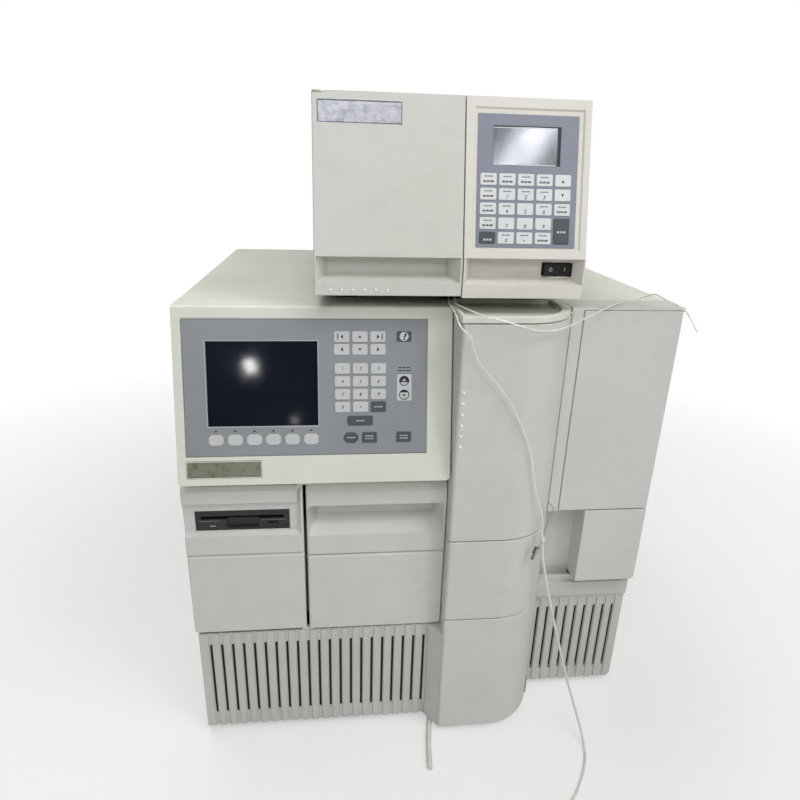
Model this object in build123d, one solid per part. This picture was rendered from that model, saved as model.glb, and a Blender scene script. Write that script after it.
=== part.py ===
from build123d import *
from math import atan2, cos, degrees, radians, sin, sqrt, tan
import os

os.makedirs("parts", exist_ok=True)

# Liquid chromatography stack: a separations module with an absorbance
# detector standing on it. Millimetres. Every shape is drawn from the lower
# left front corner of the module (X right, Y back, Z up) and save() moves it
# to the middle of the footprint with the feet on Z = 0.

# separations module
case_width = 575.0
case_height = 562.0
case_depth = 530.0
foot_height = 8.0
foot_diameter = 38.0
foot_inset = 45.0
sheet = 1.5
skin = 3.0
seam = 0.6
top_plate = 4.0
drawer_overhang = 3.0
inlet_flange = 3.0
bump_height = 1.2
bump_radius = 1.9

# leaning keypad fascia
fascia_width = 303.0
fascia_foot_z = 370.0
fascia_foot_y = 9.0
fascia_top_y = 52.0
top_strip_end = 94.0

# tall curved covers on the right of the fascia
curve_left = 304.5
curve_radius = 70.0
curve_flat = 67.2
hinge_end_y = 49.2
door_bottom = 292.5
door_top = case_height - 6.7
middle_bottom = 178.0
cover_gap = 1.5
hinge_radius = 3.2
pin_radius = 1.5
pin_play = 0.06
pin_reach = 9.0
edge_round = 1.2

# front panels under the fascia
panel_y = 22.0
panel_top = 359.5
panel_bottom = 157.0
split_left = 134.0
split_gap = 3.5
groove_z = 270.0
panel_back = 30.0
strip_width = 3.2
inset_depth = 5.0
inset_low = 295.5
inset_high = 339.0
scoop_depth = 26.0
scoop_top = 333.0
scoop_bottom = 293.0
scoop_inset = 9.0
scoop_rise = 16.0
scoop_drop = 11.0
sample_back = panel_y + scoop_depth + 4

# disk drive
drive_left = 9.7
drive_width = 107.5
drive_bottom = 301.0
drive_height = 25.4
drive_depth = 130.0
pocket_depth = 8.0

# grilles
grille_y = 24.0
grille_right = 289.0
grille_top = 153.0
slot_pitch = 13.54
slot_width = 3.0
slot_low = 23.5
slot_high = 135.0
left_slots = 21
first_slot = 13.5
right_grille_y = 70.0
right_first_slot = 453.0
right_slots = int((case_width - right_first_slot) // slot_pitch)

# column oven at the right
oven_left = 441.0
oven_pocket = 51.0
oven_front = 53.0
oven_strip = 13.5
oven_bottom = 298.0
oven_door_thick = 14.0
oven_depth = 130.0
lower_cover_left = oven_left + oven_pocket
lower_cover_bottom = 187.0
ledge_low = 154.0
ledge_high = 176.0

# detector
detector_left = 152.5
detector_width = 285.0
detector_gap = 17.5
detector_height = 194.5
detector_bottom = case_height + detector_gap
detector_top = detector_bottom + detector_height
detector_front = 25.0
detector_length = 501.0
detector_split = 153.0
face_foot_y = 27.0
face_foot_rise = 39.5
face_foot_z = detector_bottom + face_foot_rise
face_top_y = 62.0
front_block = 70.0
lip_height = 14.0
lip_top = detector_bottom + lip_height
right_lip_drop = 2.0
recess_back = 45.0

# inner pieces
bulkhead_x = 297.0
chamber_left = 8.0
chamber_back = 345.0
chamber_bottom = 158.0
chamber_top = 290.0
carousel_x = 152.0
carousel_y = 190.0
carousel_radius = 124.0
rack_radius = 43.0
rack_circle = 77.0
racks = 5
vials_per_rack = 10
vial_diameter = 11.6
fluidics_back = 140.0

# tubes
drain = 3.2
drain_z = drain / 2 - foot_height
hose = 7.0
hose_x = 300.5
hose_y = 67.0
hose_z = hose / 2 - foot_height
union_x = 420.5
union_y = 6.0
union_bottom = 286.0
union_top = 291.8

shift_x = (case_width - drawer_overhang) / 2
shift_y = (case_depth + inlet_flange - bump_height) / 2
to_world = Pos(-shift_x, -shift_y, foot_height)


def save(name, shape):
    shape = to_world * shape
    export_step(shape, "parts/" + name + ".step")
    print(name, len(shape.solids()), round(shape.volume, 1))


def block(x0, x1, y0, y1, z0, z1):
    return Pos((x0 + x1) / 2, (y0 + y1) / 2, (z0 + z1) / 2) * Box(x1 - x0, y1 - y0, z1 - z0)


def side_prism(points, x0, x1):
    # closed outline in (Y, Z), run along X from x0 to x1
    outline = Plane((x0, 0, 0), x_dir=(0, 1, 0), z_dir=(1, 0, 0)) * make_face(Polyline(points, close=True))
    return extrude(outline, x1 - x0, dir=(1, 0, 0))


def plan_prism(points, z0, z1):
    return extrude(Pos(0, 0, z0) * make_face(Polyline(points, close=True)), z1 - z0, dir=(0, 0, 1))


def along_y(x, y0, y1, z, radius):
    return Pos(x, (y0 + y1) / 2, z) * Rot(90, 0, 0) * Cylinder(radius, y1 - y0)


def along_x(x0, x1, y, z, radius):
    return Pos((x0 + x1) / 2, y, z) * Rot(0, 90, 0) * Cylinder(radius, x1 - x0)


def upright(x, y, z0, z1, radius):
    return Pos(x, y, (z0 + z1) / 2) * Cylinder(radius, z1 - z0)


def funnel(x0, x1, z0, z1, y0, inset_x, low_rise, high_drop, y1):
    # pocket that narrows from a rectangle at y0 to a smaller one at y1
    front = Plane((0, y0, 0), x_dir=(1, 0, 0), z_dir=(0, -1, 0))
    rear = Plane((0, y1, 0), x_dir=(1, 0, 0), z_dir=(0, -1, 0))
    wide = front * make_face(Polyline([(x0, z0), (x1, z0), (x1, z1), (x0, z1)], close=True))
    rise, drop = z0 + low_rise, z1 - high_drop
    small = rear * make_face(Polyline(
        [(x0 + inset_x, rise), (x1 - inset_x, rise), (x1 - inset_x, drop), (x0 + inset_x, drop)], close=True))
    return loft([wide.face(), small.face()])


fascia_lean = atan2(fascia_top_y - fascia_foot_y, case_height - fascia_foot_z)
fascia_face = Plane((0, fascia_foot_y, fascia_foot_z), x_dir=(1, 0, 0),
                    z_dir=(0, -cos(fascia_lean), sin(fascia_lean)))
fascia_length = (case_height - fascia_foot_z) / cos(fascia_lean)
face_lean = atan2(face_top_y - face_foot_y, detector_top - face_foot_z)
detector_face = Plane((detector_left, face_foot_y, face_foot_z), x_dir=(1, 0, 0),
                      z_dir=(0, -cos(face_lean), sin(face_lean)))
detector_face_length = (detector_top - face_foot_z) / cos(face_lean)


def on_face(plane, x0, x1, s0, s1, low, high):
    # slab on a leaning face: x across, s up the slope, low to high off it
    return plane * Pos((x0 + x1) / 2, (s0 + s1) / 2, (low + high) / 2) * Box(x1 - x0, s1 - s0, high - low)


def sunk(plane, x0, x1, s0, s1, depth, flare):
    # shallow recess whose walls open outward by flare at the surface
    middle = plane * Pos((x0 + x1) / 2, (s0 + s1) / 2, 0)
    wide = middle * Pos(0, 0, 0.01) * Rectangle(x1 - x0 + 2 * flare, s1 - s0 + 2 * flare)
    floor = middle * Pos(0, 0, -depth) * Rectangle(x1 - x0, s1 - s0)
    return loft([floor.face(), wide.face()])


def key_row(plane, x0, pitch, count, width, s0, height, low, high, corner):
    # one row of membrane keys standing a little off the overlay
    pad = extrude(chamfer(Rectangle(width, height).vertices(), corner), high - low)
    keys = Part()
    for step in range(count):
        keys += plane * Pos(x0 + pitch * step + width / 2, s0 + height / 2, low) * pad
    return keys


# ---------------------------------------------------------------- base
pan_inset = 6.0
pan_wall = 26.0
pan_front = hinge_end_y + 0.3
pan_right_front = right_grille_y + skin + 0.3
pan = block(pan_inset, oven_left, pan_front, case_depth - skin, 0, pan_wall)
pan += block(oven_left - 1, case_width - pan_inset, pan_right_front, case_depth - skin, 0, pan_wall)
pan -= block(pan_inset + sheet, oven_left - sheet, pan_front + sheet, case_depth - skin - sheet, sheet, pan_wall + 1)
pan -= block(oven_left - sheet - 1, case_width - pan_inset - sheet, pan_right_front + sheet,
             case_depth - skin - sheet, sheet, pan_wall + 1)
pan += block(pan_inset, grille_right - 1, grille_y + skin + 0.3, pan_front + 1, 0, sheet)
feet = Part()
for x in (foot_inset, case_width - foot_inset):
    for y in (pan_right_front + foot_inset, case_depth - foot_inset):
        foot = upright(x, y, -foot_height, 0, foot_diameter / 2)
        foot = chamfer(foot.edges().group_by(Axis.Z)[0], 2)
        feet += foot
save("levelling_feet", feet)

# ---------------------------------------------------------------- sides, rear, top
side_bottom = 0.0
left_side = side_prism([(grille_y + skin + 1, side_bottom), (grille_y + skin + 1, panel_bottom),
                        (panel_back + 7, panel_bottom), (panel_back + 7, fascia_foot_z - 1),
                        (top_strip_end + seam, fascia_foot_z - 1), (top_strip_end + seam, case_height - top_plate),
                        (case_depth, case_height - top_plate), (case_depth, side_bottom)], 0, skin)
vent = Part()
for step in range(14):
    vent += block(-1, skin + 1, 250 + 14 * step, 254 + 14 * step, 60, 150)
left_side -= vent
save("side_panel_left", left_side)

right_side = side_prism([(right_grille_y + skin + 1, side_bottom), (right_grille_y + skin + 1, lower_cover_bottom),
                         (top_strip_end + seam, lower_cover_bottom), (top_strip_end + seam, case_height - top_plate),
                         (case_depth, case_height - top_plate), (case_depth, side_bottom)],
                        case_width - skin, case_width)
right_side -= Pos(case_width - skin, 0, 0) * vent
save("side_panel_right", right_side)

fan_x, fan_z, fan_bore = 150.0, case_height - 142, 55.0
rear = block(skin + 0.3, case_width - skin - 0.3, case_depth - sheet, case_depth, sheet, case_height - top_plate - 0.3)
rear -= along_y(fan_x, case_depth - 5, case_depth + 5, fan_z, fan_bore)
rear -= block(450, 498, case_depth - 5, case_depth + 5, 60, 88)
save("rear_panel", rear)

top = block(0, case_width, top_strip_end + seam, case_depth, case_height - top_plate, case_height)
top = fillet(top.edges().filter_by(Axis.Z).group_by(Axis.Y)[-1], 6)
top = fillet(top.faces().sort_by(Axis.Z)[-1].edges().sort_by(Axis.Y)[1:], edge_round)
save("top_cover", top)

# ---------------------------------------------------------------- keypad fascia
outer = side_prism([(fascia_foot_y, fascia_foot_z), (fascia_top_y, case_height), (top_strip_end, case_height),
                    (top_strip_end, fascia_foot_z)], 0, fascia_width)
outer = fillet(outer.edges().filter_by(Axis.Y).group_by(Axis.Z)[0], 5)
outer = fillet(outer.edges().filter_by(Axis.X).group_by(Axis.Z)[-1].group_by(Axis.Y)[0], 3)
inner = side_prism([(fascia_foot_y + 4, fascia_foot_z + 3), (fascia_top_y + 3, case_height - 3.5),
                    (top_strip_end + 1, case_height - 3.5), (top_strip_end + 1, fascia_foot_z + 3)],
                   skin, fascia_width - skin)
fascia = outer - inner
screen_left, screen_width, screen_low, screen_height = 34.3, 119.7, 65.9, 93.6
fascia -= on_face(fascia_face, screen_left, screen_left + screen_width, screen_low, screen_low + screen_height, -9, 1)
overlay_left, overlay_right, overlay_low, overlay_high = 10.0, 275.0, 32.8, 183.4
overlay_recess = 0.6
recess_flare = 0.9
fascia -= sunk(fascia_face, overlay_left - 0.3, overlay_right + 0.3, overlay_low - 0.3, overlay_high + 0.3,
               overlay_recess, recess_flare)
plate_left, plate_width, plate_low, plate_height = 9.6, 81.4, 8.2, 19.2
fascia -= on_face(fascia_face, plate_left - 0.4, plate_left + plate_width + 0.4, plate_low - 0.4,
                  plate_low + plate_height + 0.4, -0.8, 5)
save("keypad_fascia", fascia)

overlay = on_face(fascia_face, overlay_left, overlay_right, overlay_low, overlay_high, -overlay_recess, 0.1)
overlay -= on_face(fascia_face, screen_left, screen_left + screen_width, screen_low, screen_low + screen_height,
                   -5, 5)
save("keypad_overlay", overlay)

glass = on_face(fascia_face, screen_left - 4, screen_left + screen_width + 4, screen_low - 4,
                screen_low + screen_height + 4, -5.5, -3.9)
glass += on_face(fascia_face, screen_left + 0.2, screen_left + screen_width - 0.2, screen_low + 0.2,
                 screen_low + screen_height - 0.2, -4.5, -2.2)
save("display_glass", glass)

key_low, key_high = 0.1, 0.7
key_width, key_height = 16.8, 11.8
light = key_row(fascia_face, 172.0, 19.8, 3, key_width, 158.4, key_height, key_low, key_high, 1.2)
light += key_row(fascia_face, 172.0, 19.8, 3, key_width, 144.5, key_height, key_low, key_high, 1.2)
for row in range(4):
    count = 3 if row < 3 else 2
    light += key_row(fascia_face, 172.4, 19.8, count, key_width, 123.6 - 14.3 * row, key_height,
                     key_low, key_high, 1.2)
light += key_row(fascia_face, 34.7, 20.64, 6, 16.0, 45.1, 12.2, key_low, key_high, 3)
light += key_row(fascia_face, 240.9, 20, 1, 16.7, 93.0, 29.9, key_low, key_high, 1.2)
save("keys_light", light)

dark = key_row(fascia_face, 172.4 + 2 * 19.8, 20, 1, key_width, 123.6 - 14.3 * 3, key_height, key_low, key_high, 1.2)
dark += key_row(fascia_face, 186.0, 20, 1, 28.4, 65.6, 10.9, key_low, key_high, 1.2)
dark += key_row(fascia_face, 181.7, 20, 1, 16.4, 46.0, 11.9, key_low, key_high, 4)
dark += key_row(fascia_face, 202.1, 20, 1, 16.7, 46.0, 11.9, key_low, key_high, 1.2)
dark += key_row(fascia_face, 240.7, 20, 1, 16.7, 46.0, 11.9, key_low, key_high, 1.2)
dark += key_row(fascia_face, 240.7, 20, 1, 16.4, 158.9, 11.4, key_low, key_high, 1.2)
save("keys_dark", dark)

plate = on_face(fascia_face, plate_left, plate_left + plate_width, plate_low, plate_low + plate_height, -0.8, 0.4)
save("module_nameplate", plate)

# ---------------------------------------------------------------- front panels
def groove_cut(x0, x1, top):
    # parting line under a lip, its lower edge cut back to a slope
    return side_prism([(panel_y - 1, top), (panel_y + 3, top), (panel_y + 3, top - 1.8), (panel_y, top - 4.6),
                       (panel_y - 1, top - 5.5)], x0, x1)


strip_left = split_left - strip_width
inset_y = panel_y + inset_depth
left_panel = block(-drawer_overhang, split_left, panel_y, panel_back, panel_bottom, panel_top)
left_panel = chamfer(left_panel.edges().filter_by(Axis.X).group_by(Axis.Z)[-1].group_by(Axis.Y)[0], 5)
left_panel = fillet(left_panel.edges().filter_by(Axis.Y).group_by(Axis.Z)[0], 4)
left_panel = fillet(left_panel.edges().filter_by(Axis.Z).group_by(Axis.X)[0].group_by(Axis.Y)[0], 2)
left_panel -= side_prism([(panel_y - 1, inset_low - 0.9), (panel_y, inset_low), (inset_y, inset_low + 4.5),
                          (inset_y, inset_high), (panel_y - 1, inset_high)], -10, strip_left)
left_panel -= plan_prism([(strip_left - inset_depth, panel_y - 0.01), (strip_left, panel_y - 0.01),
                          (strip_left, inset_y)], inset_high - 1, panel_top + 1)
opening = (drive_left - 0.3, drive_left + drive_width + 0.3, drive_bottom - 0.3, drive_bottom + drive_height + 0.3)
left_panel -= block(opening[0], opening[1], panel_y, panel_back + 20, opening[2], opening[3])
left_panel -= funnel(opening[0] - 1.2, opening[1] + 1.2, opening[2] - 1.2, opening[3] + 1.2, inset_y - 0.01,
                     1.2, 1.2, 1.2, inset_y + 1.2)
left_panel -= groove_cut(-10, split_left + 1, groove_z + 1)
sample_left = split_left + split_gap
sample_hinge_x = sample_left + 3.5
sample_hinge_y = panel_y + 5.0
for low, high, z0, z1 in ((panel_bottom - 3.6, panel_bottom - 0.6, panel_bottom - 2, panel_bottom + pin_reach),
                          (panel_top + 0.6, panel_top + 3.6, panel_top - pin_reach, panel_top + 2)):
    left_panel += block(split_left - 6, sample_hinge_x + 3, sample_hinge_y - 2.2, panel_back, low, high)
    left_panel += block(split_left - 6, split_left, sample_hinge_y - 2.2, panel_back, min(low, panel_top - 5),
                        max(high, panel_bottom + 5))
    left_panel += upright(sample_hinge_x, sample_hinge_y, z0, z1, pin_radius)
save("disk_panel", left_panel)

drive = block(drive_left, drive_left + drive_width, panel_y + pocket_depth - 2, panel_y + pocket_depth + drive_depth,
              drive_bottom, drive_bottom + drive_height)
slot_z = drive_bottom + 14.5
drive -= block(drive_left + 6, drive_left + drive_width - 6, panel_y, panel_y + pocket_depth + 100, slot_z,
               slot_z + 4.0)
flap_left, flap_width, flap_low = 45.4, 36.4, drive_bottom + 3
drive -= block(flap_left, flap_left + flap_width, panel_y, panel_y + pocket_depth + 1.5, flap_low, slot_z)
button_left, button_width = 92.0, 12.0
drive -= block(button_left, button_left + button_width, panel_y, panel_y + pocket_depth + 12, drive_bottom + 4,
               drive_bottom + 9)
save("disk_drive", drive)

button = block(button_left + 0.3, button_left + button_width - 0.3, panel_y + pocket_depth - 4.5,
               panel_y + pocket_depth + 7, drive_bottom + 4.3, drive_bottom + 8.7)
save("disk_eject_button", button)

sample_right = curve_left - 1.2
taper = 1.8
door = side_prism([(panel_y, panel_bottom), (panel_y, panel_top - 10), (panel_y + 7, panel_top),
                   (sample_back, panel_top), (sample_back, panel_bottom)], sample_left, sample_right)
door -= plan_prism([(sample_right, panel_y + 4), (sample_right + 5, panel_y + 4), (sample_right + 5, sample_back + 1),
                    (sample_right - taper, sample_back + 1)], 0, 400)
door = fillet(door.edges().filter_by(Axis.Z).group_by(Axis.X)[0].group_by(Axis.Y)[0], 3)
door = fillet(door.edges().filter_by(Axis.Y).group_by(Axis.Z)[0].group_by(Axis.X)[-1], 4)
scoop = funnel(sample_left + 2, sample_right - 2, scoop_bottom, scoop_top, panel_y, scoop_inset, scoop_rise,
               scoop_drop, panel_y + scoop_depth)
scoop = fillet(scoop.edges().filter_by(Plane.XZ, reverse=True), 5)
door -= scoop
door -= block(sample_left + skin, sample_right - skin - taper, panel_y + skin, sample_back + 1, panel_bottom + skin,
              scoop_bottom - 8)
door -= groove_cut(sample_left - 1, sample_right + 1, groove_z - 3)
for z in (panel_bottom - 1, panel_top - pin_reach - 1):
    door -= upright(sample_hinge_x, sample_hinge_y, z, z + pin_reach + 2, pin_radius + pin_play)
save("sample_door", door)

# ---------------------------------------------------------------- left grille
grille = block(0, grille_right, grille_y, grille_y + skin, 2, grille_top)
cuts = Part()
for step in range(left_slots):
    x = first_slot + slot_pitch * step
    cuts += block(x - slot_width / 2, x + slot_width / 2, grille_y - 1, grille_y + skin + 1, slot_low, slot_high)
    groove = block(x - 2.6, x + 2.6, grille_y - 1, grille_y + 1.4, 0, grille_top + 1)
    cuts += groove
grille -= cuts
save("grille_left", grille)


# ---------------------------------------------------------------- curved covers
curve_x = curve_left + curve_flat
end_angle = degrees(atan2(curve_radius - hinge_end_y, sqrt(curve_radius ** 2 - (curve_radius - hinge_end_y) ** 2)))


def curved_outline(inset, back_y):
    # plan outline: flat front, large arc round to the hinge end, straight back
    radius = curve_radius - inset
    left = curve_left + inset
    front = inset
    angle = radians(end_angle)
    end_x = curve_x + radius * cos(angle)
    end_y = curve_radius - radius * sin(angle)
    mid = radians((90 + end_angle) / 2)
    middle = (curve_x + radius * cos(mid), curve_radius - radius * sin(mid))
    edges = [Line((left, back_y), (left, front)), Line((left, front), (curve_x, front)),
             ThreePointArc((curve_x, front), middle, (end_x, end_y))]
    if back_y > end_y + 0.01:
        edges.append(Line((end_x, end_y), (end_x, back_y)))
        edges.append(Line((end_x, back_y), (left, back_y)))
    else:
        edges.append(Line((end_x, end_y), (left, back_y)))
    return make_face(edges)


def curved_shell(z0, z1, back_y, rim):
    body = extrude(Pos(0, 0, z0) * curved_outline(0, back_y), z1 - z0, dir=(0, 0, 1))
    body = fillet(body.edges().filter_by(Axis.Z).group_by(Axis.X)[0].group_by(Axis.Y)[0], 4)
    for end in (0, -1):
        body = fillet(body.edges().group_by(Axis.Z)[end].sort_by(Axis.Y)[0:3], edge_round)
    hollow = extrude(Pos(0, 0, z0 + rim) * curved_outline(skin, back_y + 5), z1 - z0 - 2 * rim, dir=(0, 0, 1))
    return body - hollow


hinge_x = curve_x + (curve_radius - hinge_radius) * cos(radians(end_angle))
hinge_y = curve_radius - (curve_radius - hinge_radius) * sin(radians(end_angle))
tall = curved_shell(door_bottom, door_top, hinge_end_y, skin)
tall += upright(hinge_x, hinge_y, door_bottom, door_top, hinge_radius)
tall -= upright(hinge_x, hinge_y, door_bottom - 1, door_bottom + pin_reach + 1, pin_radius + pin_play)
tall -= upright(hinge_x, hinge_y, door_top - pin_reach - 1, door_top + 1, pin_radius + pin_play)
for step in range(6):
    tall += Pos(curve_left + 5.4, bump_radius - bump_height, 415.3 + 12.94 * step) * Sphere(bump_radius)
save("tall_door", tall)

middle = curved_shell(middle_bottom, door_bottom - cover_gap, hinge_end_y, skin)
middle += upright(hinge_x, hinge_y, door_bottom - cover_gap - skin, door_bottom - cover_gap, hinge_radius)
middle += upright(hinge_x, hinge_y, door_bottom - cover_gap - 1, door_bottom + pin_reach, pin_radius)
save("middle_cover", middle)
base_cover = curved_shell(0, middle_bottom - cover_gap, hinge_end_y, skin)
base_cover += plan_prism([(curve_left, 4), (curve_left + skin, 4), (curve_left + skin, hinge_end_y),
                          (grille_right + 0.3, grille_y + skin), (grille_right + 0.3, grille_y)],
                         0, grille_top)
save("base_cover", base_cover)

# ---------------------------------------------------------------- top tray
tray_low, tray_high = door_top + 1.3, case_height + 1.5
tray_right = 438.0
tray_corner = 64.0
rim = 5.0
wide_rim = 12.0
tray_plan = plan_prism([(fascia_width + 0.6, -0.5), (tray_right, -0.5), (tray_right, top_strip_end),
                        (fascia_width + 0.6, top_strip_end)], tray_low, tray_high)
tray_plan = fillet(tray_plan.edges().filter_by(Axis.Z).group_by(Axis.X)[-1].group_by(Axis.Y)[0], tray_corner)
tray_plan = fillet(tray_plan.faces().sort_by(Axis.Z)[-1].edges().sort_by(Axis.X)[-3:], edge_round)
well_right = tray_right - wide_rim
well = plan_prism([(fascia_width + 0.6 + rim, -0.5 + rim), (well_right, -0.5 + rim),
                   (well_right, top_strip_end - rim), (fascia_width + 0.6 + rim, top_strip_end - rim)],
                  tray_low + 2, tray_high + 1)
well = fillet(well.edges().filter_by(Axis.Z).group_by(Axis.X)[-1].group_by(Axis.Y)[0], tray_corner - wide_rim)
tray = tray_plan - well
tray += block(fascia_width + 8, tray_right - 12, hinge_y + 12, top_strip_end, door_top, tray_low + 0.5)
save("top_tray", tray)

# ---------------------------------------------------------------- column oven
oven_hinge_x = case_width - 3.6
oven_hinge_y = oven_front + 3.6
housing = block(oven_left, case_width, oven_front, top_strip_end, oven_bottom, case_height)
door_left = oven_left + oven_strip + 0.8
door_depth = oven_front + oven_door_thick
housing -= block(door_left - 0.8, case_width + 1, oven_front - 1, door_depth + 1, oven_bottom - 1, case_height - 3)
housing -= block(oven_left + skin, case_width - skin, oven_front + skin, top_strip_end + 1, oven_bottom + skin,
                 case_height - 3)
hinge_plate_low, hinge_plate_high = door_top + 0.3, tray_low - 0.2
housing += block(hinge_x - 4, oven_left + 1, hinge_y - 4, hinge_y + 8, hinge_plate_low, hinge_plate_high)
housing += upright(hinge_x, hinge_y, door_top - pin_reach, hinge_plate_high, pin_radius)
housing += upright(oven_hinge_x, oven_hinge_y, case_height - 3.6 - pin_reach, case_height - 2, pin_radius)
save("oven_housing", housing)

oven_door = block(door_left + 0.4, case_width, oven_front, door_depth, oven_bottom + 0.4, case_height - 3.6)
oven_door = fillet(oven_door.edges().filter_by(Axis.Z).group_by(Axis.X)[-1].group_by(Axis.Y)[0], 3.5)
oven_door = fillet(oven_door.faces().sort_by(Axis.Y)[0].edges().sort_by(Axis.X)[0:3], edge_round)
oven_door -= block(door_left + 4, case_width - 9, oven_front + 3, door_depth + 1, oven_bottom + 4, case_height - 8)
for z in (oven_bottom, case_height - 3.6 - pin_reach - 1):
    oven_door -= upright(oven_hinge_x, oven_hinge_y, z, z + pin_reach + 1.5, pin_radius + pin_play)
save("oven_door", oven_door)

lower_cover = block(lower_cover_left, case_width, oven_front + 1, top_strip_end, lower_cover_bottom,
                    oven_bottom - 1.5)
lower_cover = fillet(lower_cover.edges().filter_by(Axis.Y).group_by(Axis.Z)[0].group_by(Axis.X)[-1], 6)
lower_cover = fillet(lower_cover.faces().sort_by(Axis.Y)[0].edges(), edge_round)
lower_cover += block(oven_left + 3, lower_cover_left + 1, oven_front + 31, top_strip_end, ledge_high + 0.6,
                     oven_bottom - 1.5)
lower_cover -= plan_prism([(lower_cover_left - 1, oven_front), (lower_cover_left, oven_front + 1),
                           (lower_cover_left - 13, oven_front + 31), (lower_cover_left - 20, oven_front + 31)],
                          0, 400)
lower_cover -= block(lower_cover_left + skin, case_width - skin, oven_front + 1 + skin, top_strip_end + 1,
                     lower_cover_bottom + skin, oven_bottom - 1.5 - skin)
lower_cover += upright(oven_hinge_x, oven_hinge_y, oven_bottom - 2.5, oven_bottom + pin_reach, pin_radius)
save("lower_cover", lower_cover)

right_grille = block(oven_left + 2, case_width, right_grille_y, right_grille_y + skin, 2, lower_cover_bottom - 1)
right_grille += block(oven_left + 2, case_width, right_grille_y - 4, right_grille_y + skin, ledge_low, ledge_high)
right_grille += block(oven_left + 2, case_width - skin - 0.3, right_grille_y, top_strip_end, ledge_high - skin, ledge_high)
cuts = Part()
for step in range(right_slots):
    x = right_first_slot + slot_pitch * step
    cuts += block(x - slot_width / 2, x + slot_width / 2, right_grille_y - 1, right_grille_y + skin + 1, 22, 132)
    cuts += block(x - 2.6, x + 2.6, right_grille_y - 1, right_grille_y + 1.4, 0, 146)
right_grille -= cuts
right_grille = fillet(right_grille.edges().filter_by(Axis.Y).group_by(Axis.Z)[0].group_by(Axis.X)[-1], 8)
save("grille_right", right_grille)

# ---------------------------------------------------------------- inside
pan += block(bulkhead_x, bulkhead_x + sheet, top_strip_end + 1, case_depth - 6, 0, case_height - top_plate - 0.3)
pan += block(bulkhead_x, bulkhead_x + sheet, sample_back + 2, top_strip_end + 2, 0, fascia_foot_z - 1)
pan += along_y(hose_x, hose_y, hose_y + 16, hose_z, hose / 2)
pan += block(hose_x - hose / 2, hose_x + hose / 2, hose_y + 4, hose_y + 16, hose_z, sheet)
save("base_pan", pan)

fluid_left = fascia_width + 0.4
liner_front = hinge_y + hinge_radius + 1
liner = block(fluid_left, oven_left - 0.4, liner_front, fluidics_back, door_bottom, door_top)
liner -= block(fluid_left + skin, oven_left - 0.4 - skin, liner_front - 1, fluidics_back - skin, door_bottom + skin,
               door_top - skin)
save("fluidics_liner", liner)

heads = Part()
for x in (342.0, 402.0):
    head = along_y(x, 70, fluidics_back - skin, 352, 21)
    head = fillet(head.edges().group_by(Axis.Y)[0], 2)
    head += upright(x, 92, 368, 392, 7)
    head += upright(x, 92, 312, 336, 7)
    heads += head
save("pump_heads", heads)

valve = along_y(352, 84, fluidics_back - skin, 470, 24)
valve += along_y(352, 72, 84, 470, 15)
valve += along_y(402, 96, fluidics_back - skin, 470, 14)
save("inject_valve", valve)

chamber_front = sample_back + 0.8
chamber = block(chamber_left, bulkhead_x - 0.3, chamber_front, chamber_back, chamber_bottom, chamber_top)
chamber -= block(chamber_left + skin, bulkhead_x - skin, chamber_front + skin, chamber_back - skin,
                 chamber_bottom + skin, chamber_top - skin)
chamber -= block(sample_left + 8, bulkhead_x - skin, chamber_front - 1, chamber_front + skin + 1, chamber_bottom + skin,
                 chamber_top - skin)
wheel_z = chamber_bottom + skin + 12
spindle_radius = 8.0
spindle_play = 0.06
wheel = upright(carousel_x, carousel_y, wheel_z, wheel_z + 4, carousel_radius)
wheel += upright(carousel_x, carousel_y, wheel_z, wheel_z + 40, 14)
wheel -= upright(carousel_x, carousel_y, wheel_z - 1, wheel_z + 34, spindle_radius + spindle_play)
chamber += upright(carousel_x, carousel_y, chamber_bottom + 1, wheel_z - 0.3, 20)
chamber += upright(carousel_x, carousel_y, wheel_z - 1, wheel_z + 33, spindle_radius)

needle_rack = 1
vials = Part()
for step in range(racks):
    heading = 360 / racks * step + 54
    cx = carousel_x + rack_circle * cos(radians(heading))
    cy = carousel_y + rack_circle * sin(radians(heading))
    rack = upright(cx, cy, wheel_z + 3.5, wheel_z + 26, rack_radius)
    rack += upright(cx, cy, wheel_z + 25, wheel_z + 46, 6)
    for place in range(vials_per_rack):
        turn = radians(heading + 360 / vials_per_rack * place)
        vx = cx + (rack_radius - 9) * cos(turn)
        vy = cy + (rack_radius - 9) * sin(turn)
        rack -= upright(vx, vy, wheel_z + 7, wheel_z + 27, vial_diameter / 2 + 0.2)
        if (step, place) == (needle_rack, 0):
            continue
        vials += upright(vx, vy, wheel_z + 7, wheel_z + 39, vial_diameter / 2)
    wheel += rack
save("carousel", wheel)
save("vials", vials)

rail_gap = 0.3
needle_heading = radians(360 / racks * needle_rack + 54)
needle_circle = rack_circle + rack_radius - 9
needle_x = carousel_x + needle_circle * cos(needle_heading)
needle_y = carousel_y + needle_circle * sin(needle_heading)
rail_y = needle_y + 7
ceiling = chamber_top - skin
chamber += block(needle_x - 8, needle_x + 8, rail_y, rail_y + 8, ceiling - 71, ceiling + 1)
save("sample_chamber", chamber)
needle = block(needle_x - 10, needle_x + 10, rail_y - 12, rail_y - rail_gap, ceiling - 37, ceiling - 25)
needle += upright(needle_x, needle_y, ceiling - 66, ceiling - 37, 1.0)
save("needle_carriage", needle)

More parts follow.
